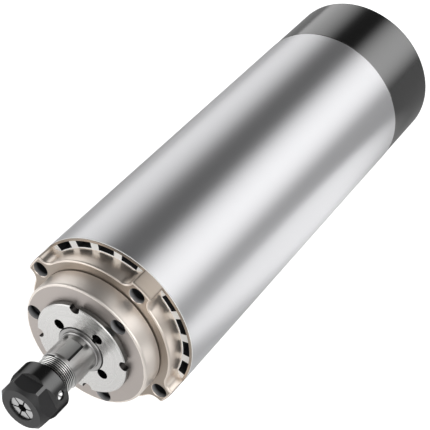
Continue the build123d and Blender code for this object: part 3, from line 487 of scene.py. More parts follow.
# What makes a finish, its colour, metallic and roughness, and then for a patterned one its
# pattern, the size of a mark, its relief, how far the roughness varies, and its spread
FINISHES = {
    # Drawn aluminium tube, satin ground and clear anodised: soft broad bands, nearly no texture
    "satin_anodised_tube": (
        patterned_finish, "tube", 0.85, 0.33, turned_pattern, 0.35, 0.0004, 0.015, 0.6,
    ),
    # Machined and champagne anodised aluminium: warm, fine grain, soft gloss
    "champagne_anodised_bracket": (
        patterned_finish, "bracket", 0.9, 0.34, grain_pattern, (0.25,) * 3, 0.0006, 0.03,
    ),
    # Turned and anodised aluminium: grey-beige with fine rings that spread the light
    "turned_anodised_cover": (
        patterned_finish, "cover", 0.85, 0.42, turned_pattern, 0.25, 0.0008, 0.03, 0.4,
    ),
    # Bare turned aluminium: bright, with a darker wedge where no light comes back. Its rings are
    # about 0.3 mm apart and are drawn coarser, so that they show
    "bare_turned_lock_ring": (
        patterned_finish, "lock_ring", 0.85, 0.28, turned_pattern, 1.3, 0.012, 0.1, 0.6,
    ),
    # Black oxide alloy steel: near black with a soft grey glint
    "black_oxide_screw": (
        patterned_finish, "#5A5A5C", 0.9, 0.32, grain_pattern, (0.4,) * 3, 0.002, 0.06,
    ),
    "black_oxide_nut": (nut_finish,),
    # Ground and polished steel: mirror bands with hairline grinding rings
    "ground_polished_shaft": (
        patterned_finish, "steel", 1.0, 0.3, turned_pattern, 0.2, 0.0006, 0.03,
    ),
    # Ground spring steel: bright satin face
    "ground_collet_steel": (
        patterned_finish, "#B8B8B8", 1.0, 0.27, turned_pattern, 0.2, 0.001, 0.04,
    ),
    # Turned, polished and black anodised aluminium: piano black with clear grey bands
    "gloss_black_cap": (
        patterned_finish, "cap", 1.0, 0.16, turned_pattern, 0.5, 0.0003, 0.02,
    ),
    # Ground bearing steel: clean and bright
    "ground_bearing_steel": (
        patterned_finish, "#D4D4D6", 1.0, 0.18, turned_pattern, 0.2, 0.0006, 0.03,
    ),
    # Lapped balls: mirror bright
    "lapped_ball_steel": (
        patterned_finish, "#E6E6E8", 1.0, 0.06, grain_pattern, (0.3,) * 3, 0.0002, 0.02,
    ),
    # Cotton-filled phenolic resin: tan, matt, with a weave that just shows
    "phenolic_cage": (
        patterned_finish, "#C9A97A", 0.0, 0.55, grain_pattern, (0.5,) * 3, 0.01, 0.08,
    ),
    # Hardened spring strip: blue-grey, rolled
    "spring_strip": (
        patterned_finish, "#B4B6BC", 1.0, 0.3, turned_pattern, 0.3, 0.001, 0.05,
    ),
    # Varnished electrical sheet in a stack: dark grey with fine lines square to the shaft
    "laminated_sheet": (striped_finish, "#8C8C90", 0.9, 0.42, "#5C5C60", 1.0),
    # Enamelled copper wire under varnish: warm brown, in fine laid strands
    "varnished_copper_wire": (striped_finish, "#B5683C", 0.6, 0.35, "#6E3418", 0.8),
    # Machined casting: plain aluminium with a fine open grain
    "machined_casting": (
        patterned_finish, "#C9C9CB", 1.0, 0.4, grain_pattern, (0.6,) * 3, 0.008, 0.08,
    ),
    # Glass-filled nylon: black, matt, faintly grained
    "moulded_fan_nylon": (
        patterned_finish, "#222224", 0.0, 0.5, grain_pattern, (0.5,) * 3, 0.01, 0.06,
    ),
    # Bright zinc plating: pale, slightly cloudy
    "bright_zinc": (
        patterned_finish, "#D8DADC", 1.0, 0.28, grain_pattern, (1.2,) * 3, 0.002, 0.08,
    ),
    # Nickel plated brass: bright, slightly warm
    "nickel_plate": (
        patterned_finish, "#DAD8D2", 1.0, 0.16, turned_pattern, 0.3, 0.0006, 0.03,
    ),
    # Moulded phenolic insert: black, semi-matt
    "moulded_insert": (
        patterned_finish, "#262628", 0.0, 0.42, grain_pattern, (0.4,) * 3, 0.006, 0.06,
    ),
    # Plated contacts: pale gold, bright
    "plated_contact": (
        patterned_finish, "#E2C98C", 1.0, 0.2, turned_pattern, 0.2, 0.0006, 0.03,
    ),
    # Silicone sleeve, red: soft and slightly ribbed
    "silicone_sleeve_red": (
        patterned_finish, "#B4312A", 0.0, 0.5, grain_pattern, (0.4,) * 3, 0.01, 0.06,
    ),
    # Silicone sleeve, green with a yellow stripe
    "silicone_sleeve_green": (striped_finish, "#3C8A3A", 0.0, 0.5, "#D8C23A", 8.0),
    # Saw-cut and faced end of the extrusion: bare aluminium, bright and even
    "faced_tube_end": (
        patterned_finish, "#FFFFFD", 0.1, 0.5, turned_pattern, 0.3, 0.001, 0.04,
    ),
    # As-extruded walls deep in the ducts: dull and dark as painted shade, drawn out along the tube
    "duct_wall": (
        patterned_finish, "#3C3C3E", 0.6, 0.5, grain_pattern, (0.4, 4.0, 0.4), 0.002, 0.05,
    ),
    # Front faces of the bracket and the cover, faced on a lathe: darker and plainer than the sides,
    # as painted shade; the bracket's boss tips and rim front get it too
    "faced_bracket_front": (
        patterned_finish, "#A99E93", 0.85, 0.36, turned_pattern, 0.25, 0.0008, 0.03,
    ),
    "faced_cover_front": (
        patterned_finish, "#C0B8B3", 0.85, 0.4, turned_pattern, 0.25, 0.0008, 0.03,
    ),
    # Groove at the cover's foot: the same anodising, darker, as painted shade in it
    "shaded_joint": (
        patterned_finish, "#877D74", 0.85, 0.5, turned_pattern, 0.25, 0.0008, 0.03,
    ),
    # Rim of the lock ring, turned with a broad tool: a darker grey beside the bright face, as
    # painted shade
    "turned_ring_rim": (
        patterned_finish, "#747472", 0.85, 0.36, turned_pattern, 0.25, 0.0008, 0.03,
    ),
    # Drilled and notched in the ring, and its neck: dark as painted shade, with a glint from its
    # gloss
    "oily_drilled_hole": (
        patterned_finish, "#4A4A4A", 1.0, 0.3, grain_pattern, (0.3,) * 3, 0.002, 0.06,
    ),
    # Front face and flats of the nut: milled before blackening, so the oxide is dull
    "milled_black_oxide": (
        patterned_finish, "#232324", 0.0, 0.45, grain_pattern, (0.3,) * 3, 0.0005, 0.03,
    ),
    # Drilled after blackening: bare steel in the balance hole, bright
    "drilled_bare_steel": (
        patterned_finish, "#DEDEDE", 1.0, 0.25, grain_pattern, (0.2,) * 3, 0.001, 0.05,
    ),
}
made_finishes = {}


def finish(name):
    """A finish by its name, made the first time that it is asked for."""
    if name not in made_finishes:
        maker, *values = FINISHES[name]
        made_finishes[name] = maker(name, *values)
    return made_finishes[name]


def finish_of(node):
    """The finish of a node's slot."""
    return finish(FINISH_OF_SLOT[SLOT_OF[node]])


def thread_finish(root, crest):
    """Rolled thread: painted highlight on the crests, and painted shade in the roots."""
    root_shade_band, crest_light_band = 0.1, 0.05
    material, tree, shader = new_finish("rolled_thread_steel", "#8A8A8A", 1.0, 0.25)
    height = add_node(tree, "ShaderNodeMapRange", {
        "Value": distance_from_shaft(tree, object_axes(tree)),
        "From Min": (root + root_shade_band) * MM, "From Max": (crest - crest_light_band) * MM,
    })
    graded_colour(tree, shader, height.outputs[0], "#2E2E2E", "#F0F0EE")
    return material


def well_light_and_shade(mouth):
    """Bored screw well: painted light at its mouth, and painted shade farther in."""
    painted_light_to, painted_shade_from = 0.5, 2.1
    material, tree, shader = new_finish(f"well_wall_painted_light_and_shade_{-mouth:.1f}", "#808080", 0.2, 0.45)
    depth = add_node(tree, "ShaderNodeMapRange", {
        "Value": object_axes(tree)["Y"],
        "From Min": (mouth + painted_light_to) * MM, "From Max": (mouth + painted_shade_from) * MM,
    })
    graded_colour(tree, shader, depth.outputs[0], "#C4C4C6", "#1C1C1E")
    return material


def flat_finish(angle, half_width):
    """Milled wrench flat: satin steel, with painted light that grows across it, and a strip of
    painted shade at one edge.
    """
    strip_width, strip_full = 1.1, 0.7
    material, tree, shader = new_finish("milled_flat_steel", "#D6D6D4", 0.6, 0.42)
    grain_pattern(tree, shader, (0.2, 1.5, 0.2), 0.001, 0.05, 0.42)
    place = add_node(tree, "ShaderNodeTexCoord")
    across = add_node(tree, "ShaderNodeVectorMath", {
        0: place.outputs["Object"], 1: (-sin(radians(angle)), 0.0, cos(radians(angle))),
    }, operation="DOT_PRODUCT")
    # painted light: the flat's colour gets lighter across it
    slope = add_node(tree, "ShaderNodeMapRange", {
        "Value": across.outputs["Value"], "From Min": -half_width * MM, "From Max": half_width * MM,
    })
    face = add_node(tree, "ShaderNodeMix", {
        "Factor": slope.outputs[0], "A": colour_of("#8C8C8C"), "B": colour_of("#ECECEA"),
    }, data_type="RGBA")
    other_way = add_node(
        tree, "ShaderNodeMath", {0: across.outputs["Value"], 1: -1.0}, operation="MULTIPLY"
    )
    # painted shade: a dark strip along one edge
    strip = add_node(tree, "ShaderNodeMapRange", {
        "Value": other_way.outputs[0],
        "From Min": (half_width - strip_width) * MM, "From Max": (half_width - strip_full) * MM,
    })
    mixed = add_node(tree, "ShaderNodeMix", {
        "Factor": strip.outputs[0], "A": face.outputs["Result"], "B": colour_of("#303030"),
    }, data_type="RGBA")
    tree.links.new(mixed.outputs["Result"], shader.inputs["Base Color"])
    return material


# Pieces


def flatten_shading(piece):
    """Weight the normals by the size of the faces, so that flats stay flat."""
    weighted = piece.modifiers.new("flat_faces", "WEIGHTED_NORMAL")
    weighted.keep_sharp = True
    settle(piece)


def break_edges(piece, width, limit=50.0):
    """Bevel the machined edges and keep the flats flat."""
    bevel = piece.modifiers.new("edge_break", "BEVEL")
    bevel.width = width
    bevel.segments = 2
    bevel.limit_method = "ANGLE"
    bevel.angle_limit = radians(limit)
    bevel.harden_normals = False
    flatten_shading(piece)


def dressed_copy(node, name, width, limit=50.0, sharp=38.0):
    """A merged copy of a CAD node with broken edges, to stand for the node."""
    mesh = frame["nodes"][node].data.copy()
    mesh.name = name
    tidy_mesh(mesh, sharp, flat=0.4)
    piece = bpy.data.objects.new(name, mesh)
    bpy.context.scene.collection.objects.link(piece)
    break_edges(piece, width, limit)
    return piece


def stepped(start, *steps):
    """The corners of a stepped outline from (radius, end) steps, the first from start on."""
    corners = []
    for radius, end in steps:
        corners += [(radius, start), (radius, end)]
        start = end
    return corners


def turned(profile, angles, shape=None):
    """Vertices and faces of a (radius, station) outline turned about the shaft line.

    shape(ring, angle, x, z) may move a point of a ring, as for a wrench flat.
    """
    vertices, faces, rings = [], [], []
    for place, (radius, y) in enumerate(profile):
        if radius == 0:
            rings.append([len(vertices)] * len(angles))
            vertices.append((0, y, 0))
            continue
        rings.append(list(range(len(vertices), len(vertices) + len(angles))))
        for angle in angles:
            x, z = radius * cos(radians(angle)), radius * sin(radians(angle))
            if shape:
                x, z = shape(place, angle, x, z)
            vertices.append((x, y, z))
    for ring, following in zip(rings, rings[1:] + rings[:1]):
        if ring[0] == ring[-1] and following[0] == following[-1]:
            continue
        for k in range(len(angles)):
            step = (k + 1) % len(angles)
            corners = [ring[k], ring[step], following[step], following[k]]
            faces.append(list(dict.fromkeys(corners)))
    return vertices, faces


def turned_piece(name, profile, segments, places=((0, 0),)):
    """A piece of round solids with one outline, at each (circle radius, angle) place."""
    angles = [k * 360 / segments for k in range(segments)]
    vertices, faces = [], []
    for circle, angle in places:
        x, z = circle * cos(radians(angle)), circle * sin(radians(angle))
        corners, sides = turned(profile, angles)
        faces += [[k + len(vertices) for k in side] for side in sides]
        vertices += [(cx + x, cy, cz + z) for cx, cy, cz in corners]
    return plain_mesh(name, vertices, faces)


def combined(piece, tools):
    """Join solids to the piece or cut them out of it: tools are (solid, UNION or DIFFERENCE)."""
    for tool, operation in tools:
        step = piece.modifiers.new(operation, "BOOLEAN")
        step.solver = "EXACT"
        step.operation = operation
        step.object = tool
    settle(piece)
    for tool, operation in tools:
        bpy.data.objects.remove(tool)


def near_axes(x, z, radius, circle, first, count):
    """Whether a point is within a radius of an axis, of count even ones on a circle."""
    for k in range(count):
        turn = radians(first + k * 360 / count)
        if sqrt((x - circle * cos(turn)) ** 2 + (z - circle * sin(turn)) ** 2) < radius:
            return True
    return False


def part_finish(piece, material, belongs):
    """Give another finish to the faces whose middle, in mm, belongs says yes to."""
    slot = len(piece.data.materials)
    piece.data.materials.append(material)
    for face in piece.data.polygons:
        if belongs(*(face.center / MM)):
            face.material_index = slot


def hand_over(piece, node):
    """Let a finished piece stand for its CAD node on its body, in its slot's finish."""
    piece.data.materials.clear()
    piece.data.materials.append(finish_of(node))
    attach(piece, BODY_OF[node])
    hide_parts(node)


class SPINDLE_OT_body_tube(bpy.types.Operator):
    """Make the body tube with its sixteen air ducts"""

    bl_idname = "spindle.body_tube"
    bl_label = "Body tube"

    inner_radius = 26.3
    duct_inner = 28.8
    duct_outer = 31.55
    chamfer = 0.2
    edge_break = 0.1
    # in degrees: where the outline starts, the first duct, from one to the next, and one's width
    outline_start = 0.4
    first_duct = 67
    duct_step = 18
    duct_width = 12

    def duct_places(self):
        """Which degrees of the outline are open: four ducts in each quarter."""
        places = set()
        for quarter in range(4):
            for duct in range(4):
                start = self.first_duct + quarter * 90 + duct * self.duct_step
                places.update((start + k) % 360 for k in range(self.duct_width))
        return places

    def execute(self, context):
        outer = context.scene.spindle_sizes.tube_radius / MM
        rear = station("body_tube", 1)
        angles = [k + self.outline_start for k in range(360)]
        profile = [
            (self.inner_radius, 0), (self.duct_inner, 0), (self.duct_outer, 0),
            (outer - self.chamfer, 0), (outer, self.chamfer),
            (outer, rear - self.chamfer), (outer - self.chamfer, rear),
            (self.duct_outer, rear), (self.duct_inner, rear), (self.inner_radius, rear),
        ]
        vertices, faces = turned(profile, angles)
        open_places = self.duct_places()
        count = len(angles)
        # the profile's rings at a duct's inner and outer wall, in front and behind, which are
        # also the bands of faces that a duct opens: from ring 1 to 2 and from ring 7 to 8
        front_in, front_out, rear_out, rear_in = (ring * count for ring in (1, 2, 7, 8))
        kept = []
        for place, face in enumerate(faces):
            band, k = divmod(place, count)
            if band not in (1, 7) or k not in open_places:
                kept.append(face)
        for k in open_places:
            after = (k + 1) % count
            kept.append([front_in + k, front_in + after, rear_in + after, rear_in + k])
            kept.append([front_out + k, front_out + after, rear_out + after, rear_out + k])
            for edge, neighbour in ((k, (k - 1) % count), (after, after)):
                if neighbour not in open_places:
                    kept.append([
                        front_in + edge, front_out + edge, rear_out + edge, rear_in + edge
                    ])
        piece = plain_mesh("body_tube_extrusion", vertices, kept)
        break_edges(piece, self.edge_break * MM, limit=60.0)
        hand_over(piece, "body_tube")
        # the walls in the ducts get painted shade
        part_finish(
            piece, finish("duct_wall"),
            lambda x, y, z: sqrt(x * x + z * z) < self.duct_outer + self.edge_break,
        )
        part_finish(
            piece, finish("faced_tube_end"),
            lambda x, y, z: y < self.chamfer or y > rear - self.chamfer,
        )
        return {"FINISHED"}


class SPINDLE_OT_front_bracket(bpy.types.Operator):
    """Make the front bracket: a hub with four bosses that flow into it"""

    bl_idname = "spindle.front_bracket"
    bl_label = "Front bracket"

    # outline: radius of hub and bosses, and a boss's half width, root fillet and corner
    hub = 28.4
    reach = 32.4
    boss_angle = 55.4
    half_boss = 4.3
    root = 3.9
    corner = 0.75
    # steps of the outline in a boss's top, corner and root, and between two bosses
    outline_steps = (4, 7, 14, 30)
    # front face with its rounded edge, chamfer at the tube, rim over the duct walls, and how
    # deep the boss tips get the front's painted shade
    face = -7.36
    rounding = 0.7
    rounding_steps = 6
    foot_chamfer = 0.12
    rim_inner = 31.55
    rim_front = -0.4
    rim_gap = 0.01
    painted_shade_tip_depth = 0.2
    # (radius, end) of what stands in the tube, and of what is bored out of the hub
    spigot = (26.2, 8.0)
    housing = (20.0, 15.24)
    cover_recess = (18.52, -5.36)
    bearing_seat = (16.02, 12.74)
    shaft_hole = (13.2, 16.0)
    # wells of the four screws with their broken edge, and the holes of the cover's three
    screw_circle = 28.66
    well = (2.95, -0.96)
    well_break = 0.18
    screw_hole = (1.55, 0.5)
    cover_circle = 21.2
    cover_angle = 47.3
    cover_hole = (1.55, -1.8)
    # where the tools start in front of the face, and the spigot inside the hub
    ahead = -9.0
    inside = -1.0

    def half_outline(self):
        """Half a boss, from its middle to the hub: (along, across, normal along, across)."""
        corner_across = self.half_boss - self.corner
        corner_along = sqrt((self.reach - self.corner) ** 2 - corner_across ** 2)
        root_across = self.half_boss + self.root
        root_along = sqrt((self.hub + self.root) ** 2 - root_across ** 2)
        lean = atan2(corner_across, corner_along)
        root_lean = atan2(root_across, root_along)
        top_steps, corner_steps, root_steps = self.outline_steps[:3]
        points = []
        for k in range(top_steps + 1):
            turn = lean * k / top_steps
            points.append((self.reach * cos(turn), self.reach * sin(turn), cos(turn), sin(turn)))
        for k in range(1, corner_steps + 1):
            turn = lean + (pi / 2 - lean) * k / corner_steps
            points.append((
                corner_along + self.corner * cos(turn), corner_across + self.corner * sin(turn),
                cos(turn), sin(turn),
            ))
        for k in range(root_steps + 1):
            turn = 1.5 * pi + (root_lean - pi / 2) * k / root_steps
            points.append((
                root_along + self.root * cos(turn), root_across + self.root * sin(turn),
                -cos(turn), -sin(turn),
            ))
        return points, degrees(root_lean)

    def outline(self):
        """The whole outline as (x, z, normal x, normal z), counter-clockwise."""
        half, root_lean = self.half_outline()
        boss = [(u, -v, nu, -nv) for u, v, nu, nv in reversed(half[1:])] + half
        gap = 90 - 2 * root_lean
        gap_steps = self.outline_steps[3]
        points = []
        for quarter in range(4):
            angle = self.boss_angle + 90 * quarter
            c, s = cos(radians(angle)), sin(radians(angle))
            for u, v, nu, nv in boss:
                points.append((u * c - v * s, u * s + v * c, nu * c - nv * s, nu * s + nv * c))
            for k in range(1, gap_steps):
                turn = radians(angle + root_lean + gap * k / gap_steps)
                points.append((self.hub * cos(turn), self.hub * sin(turn), cos(turn), sin(turn)))
        return points

    def body(self, foot):
        """The hub and its bosses, solid, with the chamfer behind and the rounding in front."""
        outline = self.outline()
        count = len(outline)
        side = self.face + self.rounding
        vertices = []
        for x, z, nx, nz in outline:
            share = min(1, foot / sqrt(x * x + z * z))
            vertices.append((x * share, 0, z * share))
        for y in (-self.foot_chamfer, side):
            vertices += [(x, y, z) for x, z, nx, nz in outline]
        for k in range(1, self.rounding_steps + 1):
            turn = pi / 2 * k / self.rounding_steps
            inset = self.rounding * (1 - cos(turn))
            y = side - self.rounding * sin(turn)
            vertices += [(x - nx * inset, y, z - nz * inset) for x, z, nx, nz in outline]
        faces = [list(range(count)), [len(vertices) - 1 - k for k in range(count)]]
        for ring in range(2 + self.rounding_steps):
            for k in range(count):
                after = (k + 1) % count
                base, over = ring * count, (ring + 1) * count
                faces.append([base + k, base + after, over + after, over + k])
        return plain_mesh("front_bracket_body", vertices, faces)

    def execute(self, context):
        foot = self.reach - self.foot_chamfer
        piece = self.body(foot)
        bored = (self.cover_recess, self.bearing_seat, self.shaft_hole)
        well_mouth = self.well[0] + self.well_break
        screws = [(self.screw_circle, self.boss_angle + 90 * k) for k in range(4)]
        cover_screws = [(self.cover_circle, self.cover_angle + 120 * k) for k in range(3)]
        spigot = turned_piece("bracket_spigot", [
            (0, self.inside), *stepped(self.inside, self.spigot, self.housing),
            (0, self.housing[1]),
        ], 120)
        bore = turned_piece("bracket_bore", [
            (0, self.ahead), *stepped(self.ahead, *bored), (0, self.shaft_hole[1]),
        ], 120)
        wells = turned_piece("bracket_screw_wells", [
            (0, self.ahead), (well_mouth, self.ahead), (well_mouth, self.face),
            *stepped(self.face + self.well_break, self.well, self.screw_hole),
            (0, self.screw_hole[1]),
        ], 48, screws)
        holes = turned_piece("cover_screw_holes", [
            (0, self.ahead), *stepped(self.ahead, self.cover_hole), (0, self.cover_hole[1]),
        ], 24, cover_screws)
        combined(piece, [
            (spigot, "UNION"), (bore, "DIFFERENCE"), (wells, "DIFFERENCE"), (holes, "DIFFERENCE"),
        ])
        rim = turned_piece("bracket_rim", [
            (self.rim_inner, -self.rim_gap), (foot - self.rim_gap, -self.rim_gap),
            (self.reach - self.rim_gap, -self.foot_chamfer),
            (self.reach - self.rim_gap, self.rim_front), (self.rim_inner, self.rim_front),
        ], 360)
        work = bmesh.new()
        work.from_mesh(piece.data)
        work.from_mesh(rim.data)
        work.to_mesh(piece.data)
        work.free()
        bpy.data.objects.remove(rim)
        tidy_mesh(piece.data, 38.0)
        flatten_shading(piece)
        hand_over(piece, "front_bracket")
        # painted shade: the front face, the boss tips and the rim's front get the darker front
        # finish
        part_finish(
            piece, finish("faced_bracket_front"),
            lambda x, y, z: (
                y < self.face + ON_FACE or x * x + z * z > (self.reach - self.painted_shade_tip_depth) ** 2
                or (y > self.rim_front - ON_FACE and x * x + z * z > self.rim_inner ** 2)
            ),
        )
        # painted light at the wells' mouths and painted shade deeper in
        part_finish(
            piece, well_light_and_shade(self.face),
            lambda x, y, z: y > self.face + self.well_break and near_axes(
                x, z, self.well[0] + SLACK, self.screw_circle, self.boss_angle, 4
            ),
        )
        return {"FINISHED"}


class SPINDLE_OT_nose_rings(bpy.types.Operator):
    """Dress the bearing cover, the lock ring and the slinger"""

    bl_idname = "spindle.nose_rings"
    bl_label = "Cover, lock ring and slinger"

    # radius, circle radius, first angle and count of the ring's pin holes and notches
    holes = ((2.0, 11.02, 48.9, 4), (1.9, 17.6, 4.0, 4))
    ring_face = -18.0
    ring_face_edge = 0.25
    rim_inner = 18.15
    neck_front = -16.1
    neck_inner = 17.0
    cover_face = -15.7
    cover_face_edge = 0.15
    # the cover's screw wells, as the holes above, and the groove at its foot
    wells = (2.95, 21.2, 47.3, 3)
    joint_stations = (-7.8, -7.3)
    joint_radii = (24.0, 24.65)

    def in_joint(self, x, y, z):
        """Whether a point lies in the groove at the cover's foot."""
        front, rear = self.joint_stations
        inner, outer = self.joint_radii
        return front < y < rear and inner < sqrt(x * x + z * z) < outer

    def in_hole(self, x, y, z):
        """Whether a point lies in a hole or notch behind the ring's face, or on its neck."""
        if self.neck_front < y < self.cover_face and x * x + z * z > self.neck_inner ** 2:
            return True
        return y > self.ring_face + self.ring_face_edge and any(
            near_axes(x, z, radius + SLACK, *circle) for radius, *circle in self.holes
        )

    def on_rim(self, x, y, z):
        """Whether a point lies on the rim of the ring, behind its broken edge."""
        return (
            self.ring_face + self.ring_face_edge < y < self.neck_front
            and x * x + z * z > self.rim_inner ** 2
        )

    def in_well(self, x, y, z):
        """Whether a point lies in a cover screw's well."""
        radius, *circle = self.wells
        return y > self.cover_face + self.cover_face_edge and near_axes(
            x, z, radius + SLACK, *circle
        )

    def execute(self, context):
        width = context.scene.spindle_sizes.edge_break
        cover, ring, slinger = (
            dressed_copy(node, name, width)
            for node, name in (
                ("bearing_cover", "bearing_cover_ring"),
                ("lock_ring", "lock_ring_disc"),
                ("slinger", "slinger_ring"),
            )
        )
        hand_over(cover, "bearing_cover")
        # painted shade in the groove at the cover's foot
        part_finish(cover, finish("shaded_joint"), self.in_joint)
        # painted shade: the cover's front face gets a darker copy of its finish
        part_finish(
            cover, finish("faced_cover_front"), lambda x, y, z: y < self.cover_face + ON_FACE
        )
        # painted light at the wells' mouths and painted shade deeper in
        part_finish(cover, well_light_and_shade(self.cover_face), self.in_well)
        hand_over(ring, "lock_ring")
        # painted shade in the pin holes, the notches and on the neck
        part_finish(ring, finish("oily_drilled_hole"), self.in_hole)
        # painted shade on the ring's rim
        part_finish(ring, finish("turned_ring_rim"), self.on_rim)
        hand_over(slinger, "slinger")
        return {"FINISHED"}


class SPINDLE_OT_screws(bpy.types.Operator):
    """Make the socket-head screws of bracket, cover and cap"""

    bl_idname = "spindle.screws"
    bl_label = "Screws"

    head_height = 3.0
    shank = 1.5
    rim = 0.3
    socket_depth = 1.6
    turn_step = 15
    # the rings of the outline that form the hexagon socket
    hexagon_rings = (7, 8)
    # node, circle radius, first angle, count, side that the head faces
    circles = (
        ("bracket_screws", 28.66, 55.4, 4, -1),
        ("cover_screws", 21.2, 47.3, 3, -1),
        ("cap_screws", 28.66, 55.4, 4, 1),
    )

    def execute(self, context):
        sizes = context.scene.spindle_sizes
        head = sizes.screw_head / MM
        flat = sizes.screw_hexagon / MM / 2
        tree = shared_tree("repeat_round_shaft", ring_tree)
        for node, circle, angle, count, side in self.circles:
            top = station(node, 0 if side < 0 else 1)
            tip = station(node, 1 if side < 0 else 0)
            back = top - side * self.head_height
            profile = [
                (0, tip), (self.shank - self.rim, tip), (self.shank, tip + side * self.rim),
                (self.shank, back), (head, back), (head, top - side * self.rim),
                (head - self.rim, top), (flat, top), (flat, top - side * self.socket_depth),
                (0, top - side * (self.socket_depth + self.rim)),
            ]

            def hexagon(place, turn, x, z):
                if place not in self.hexagon_rings:
                    return x, z
                reach = 1 / cos(radians((turn + 30) % 60 - 30))
                return x * reach, z * reach

            vertices, faces = turned(profile, range(0, 360, self.turn_step), hexagon)
            vertices = [(x + circle, y, z) for x, y, z in vertices]
            piece = plain_mesh(node + "_set", vertices, faces)
            run_tree(piece, tree, {
                "Count": count, "First Angle": radians(angle), "Material": finish_of(node),
            })
            hand_over(piece, node)
        return {"FINISHED"}


class SPINDLE_OT_shaft(bpy.types.Operator):
    """Make the spindle shaft with its wrench flats and nose thread"""

    bl_idname = "spindle.shaft"
    bl_label = "Spindle shaft"

    nose_radius = 7.2
    nose_length = 10.9
    nose_chamfer = 0.15
    # nose thread: crest radius, how high its ridge is for its pitch, the plain relief behind it
    # and the gap in front of the ridge
    thread_radius = 6.95
    thread_end = -30.1
    ridge_share = 0.46
    relief = 0.5
    thread_gap = 0.6
    thread_run_out = 0.65
    edge = 0.1
    # wrench flats
    flats = 13.4
    flat_angle = 77.0
    flat_front = 1.0
    flat_length = 8.0
    # collet seat: nominal mouth and how deep in the taper it lies, taper, bore and drill tip
    seat_radius = 5.68
    seat_depth = 1.27
    seat_angle = 8.0
    bore = 4.2
    bore_length = 6.0
    drill_tip = 2.1
    # shoulder, and the (radius, end) of the journals behind it
    shoulder = 0.3
    journals = (
        (7.5, 12.74), (9.0, 38.0), (8.0, 112.0), (7.5, 140.8), (6.0, 157.8), (4.5, 166.3),
    )
    stub = 3.0
    stub_chamfer = 0.4
    turn_step = 3

    def execute(self, context):
        pitch = context.scene.spindle_sizes.nose_thread_pitch / MM
        front = station("spindle_shaft", 0)
        rear = station("spindle_shaft", 1)
        ridge = pitch * self.ridge_share
        core = self.thread_radius - ridge
        shoulder_face = self.thread_end + self.nose_length
        flat_from = self.thread_end + self.flat_front
        flat_to = flat_from + self.flat_length
        taper = tan(radians(self.seat_angle))
        seat_mouth = self.seat_radius - self.seat_depth * taper
        seat_end = front + (seat_mouth - self.bore) / taper
        bore_end = seat_end + self.bore_length
        profile = [
            (seat_mouth, front), (core - self.edge, front), (core, front + self.edge),
            (core, self.thread_end - self.relief), (core, self.thread_end),
            (self.nose_radius - self.nose_chamfer, self.thread_end),
            (self.nose_radius, self.thread_end + self.nose_chamfer),
            (self.nose_radius, flat_from), (self.nose_radius, flat_from),
            (self.nose_radius, flat_to), (self.nose_radius, flat_to),
            (self.nose_radius, shoulder_face),
            *stepped(shoulder_face + self.shoulder, *self.journals),
            (self.stub, self.journals[-1][1]), (self.stub, rear - self.stub_chamfer),
            (self.stub - self.stub_chamfer, rear), (0, rear),
            (0, bore_end + self.drill_tip), (self.bore, bore_end), (self.bore, seat_end),
        ]
        # the two middle ones of the four rings at the flats' ends are cut down to the flats
        flat_rings = (8, 9)
        half = degrees(acos(self.flats / 2 / self.nose_radius))
        edges = [self.flat_angle + side * half + flip for side in (-1, 1) for flip in (0, 180)]
        angles = sorted(set(range(0, 360, self.turn_step)) | {edge % 360 for edge in edges})
        normal = (cos(radians(self.flat_angle)), sin(radians(self.flat_angle)))

        def wrench_flat(place, angle, x, z):
            if place not in flat_rings:
                return x, z
            reach = x * normal[0] + z * normal[1]
            over = max(abs(reach) - self.flats / 2, 0) * (1 if reach > 0 else -1)
            return x - over * normal[0], z - over * normal[1]

        vertices, faces = turned(profile, angles, wrench_flat)
        piece = plain_mesh("spindle_shaft_nose", vertices, faces, sharp=30.0)
        run_tree(piece, shared_tree("thread_ridge", thread_tree), {
            "Radius": core * MM, "Start": (front + self.thread_gap) * MM,
            "Length": (self.thread_end - self.thread_run_out - front) * MM, "Pitch": pitch * MM,
            "Ridge": ridge * MM, "Material": finish_of("spindle_shaft"),
        })
        hand_over(piece, "spindle_shaft")

        def on_flat(x, y, z):
            reach = abs(x * normal[0] + z * normal[1]) - self.flats / 2
            return abs(reach) < SLACK and flat_from < y < flat_to

        def on_thread(x, y, z):
            outside = x * x + z * z > self.seat_radius ** 2
            return outside and front + self.edge < y < self.thread_end - self.edge

        half_width = sqrt(self.nose_radius ** 2 - (self.flats / 2) ** 2)
        # painted light across the wrench flats, with painted shade at one edge
        part_finish(piece, flat_finish(self.flat_angle, half_width), on_flat)
        # painted highlight on the thread's crests and painted shade in its roots
        part_finish(piece, thread_finish(core, self.thread_radius), on_thread)
        return {"FINISHED"}


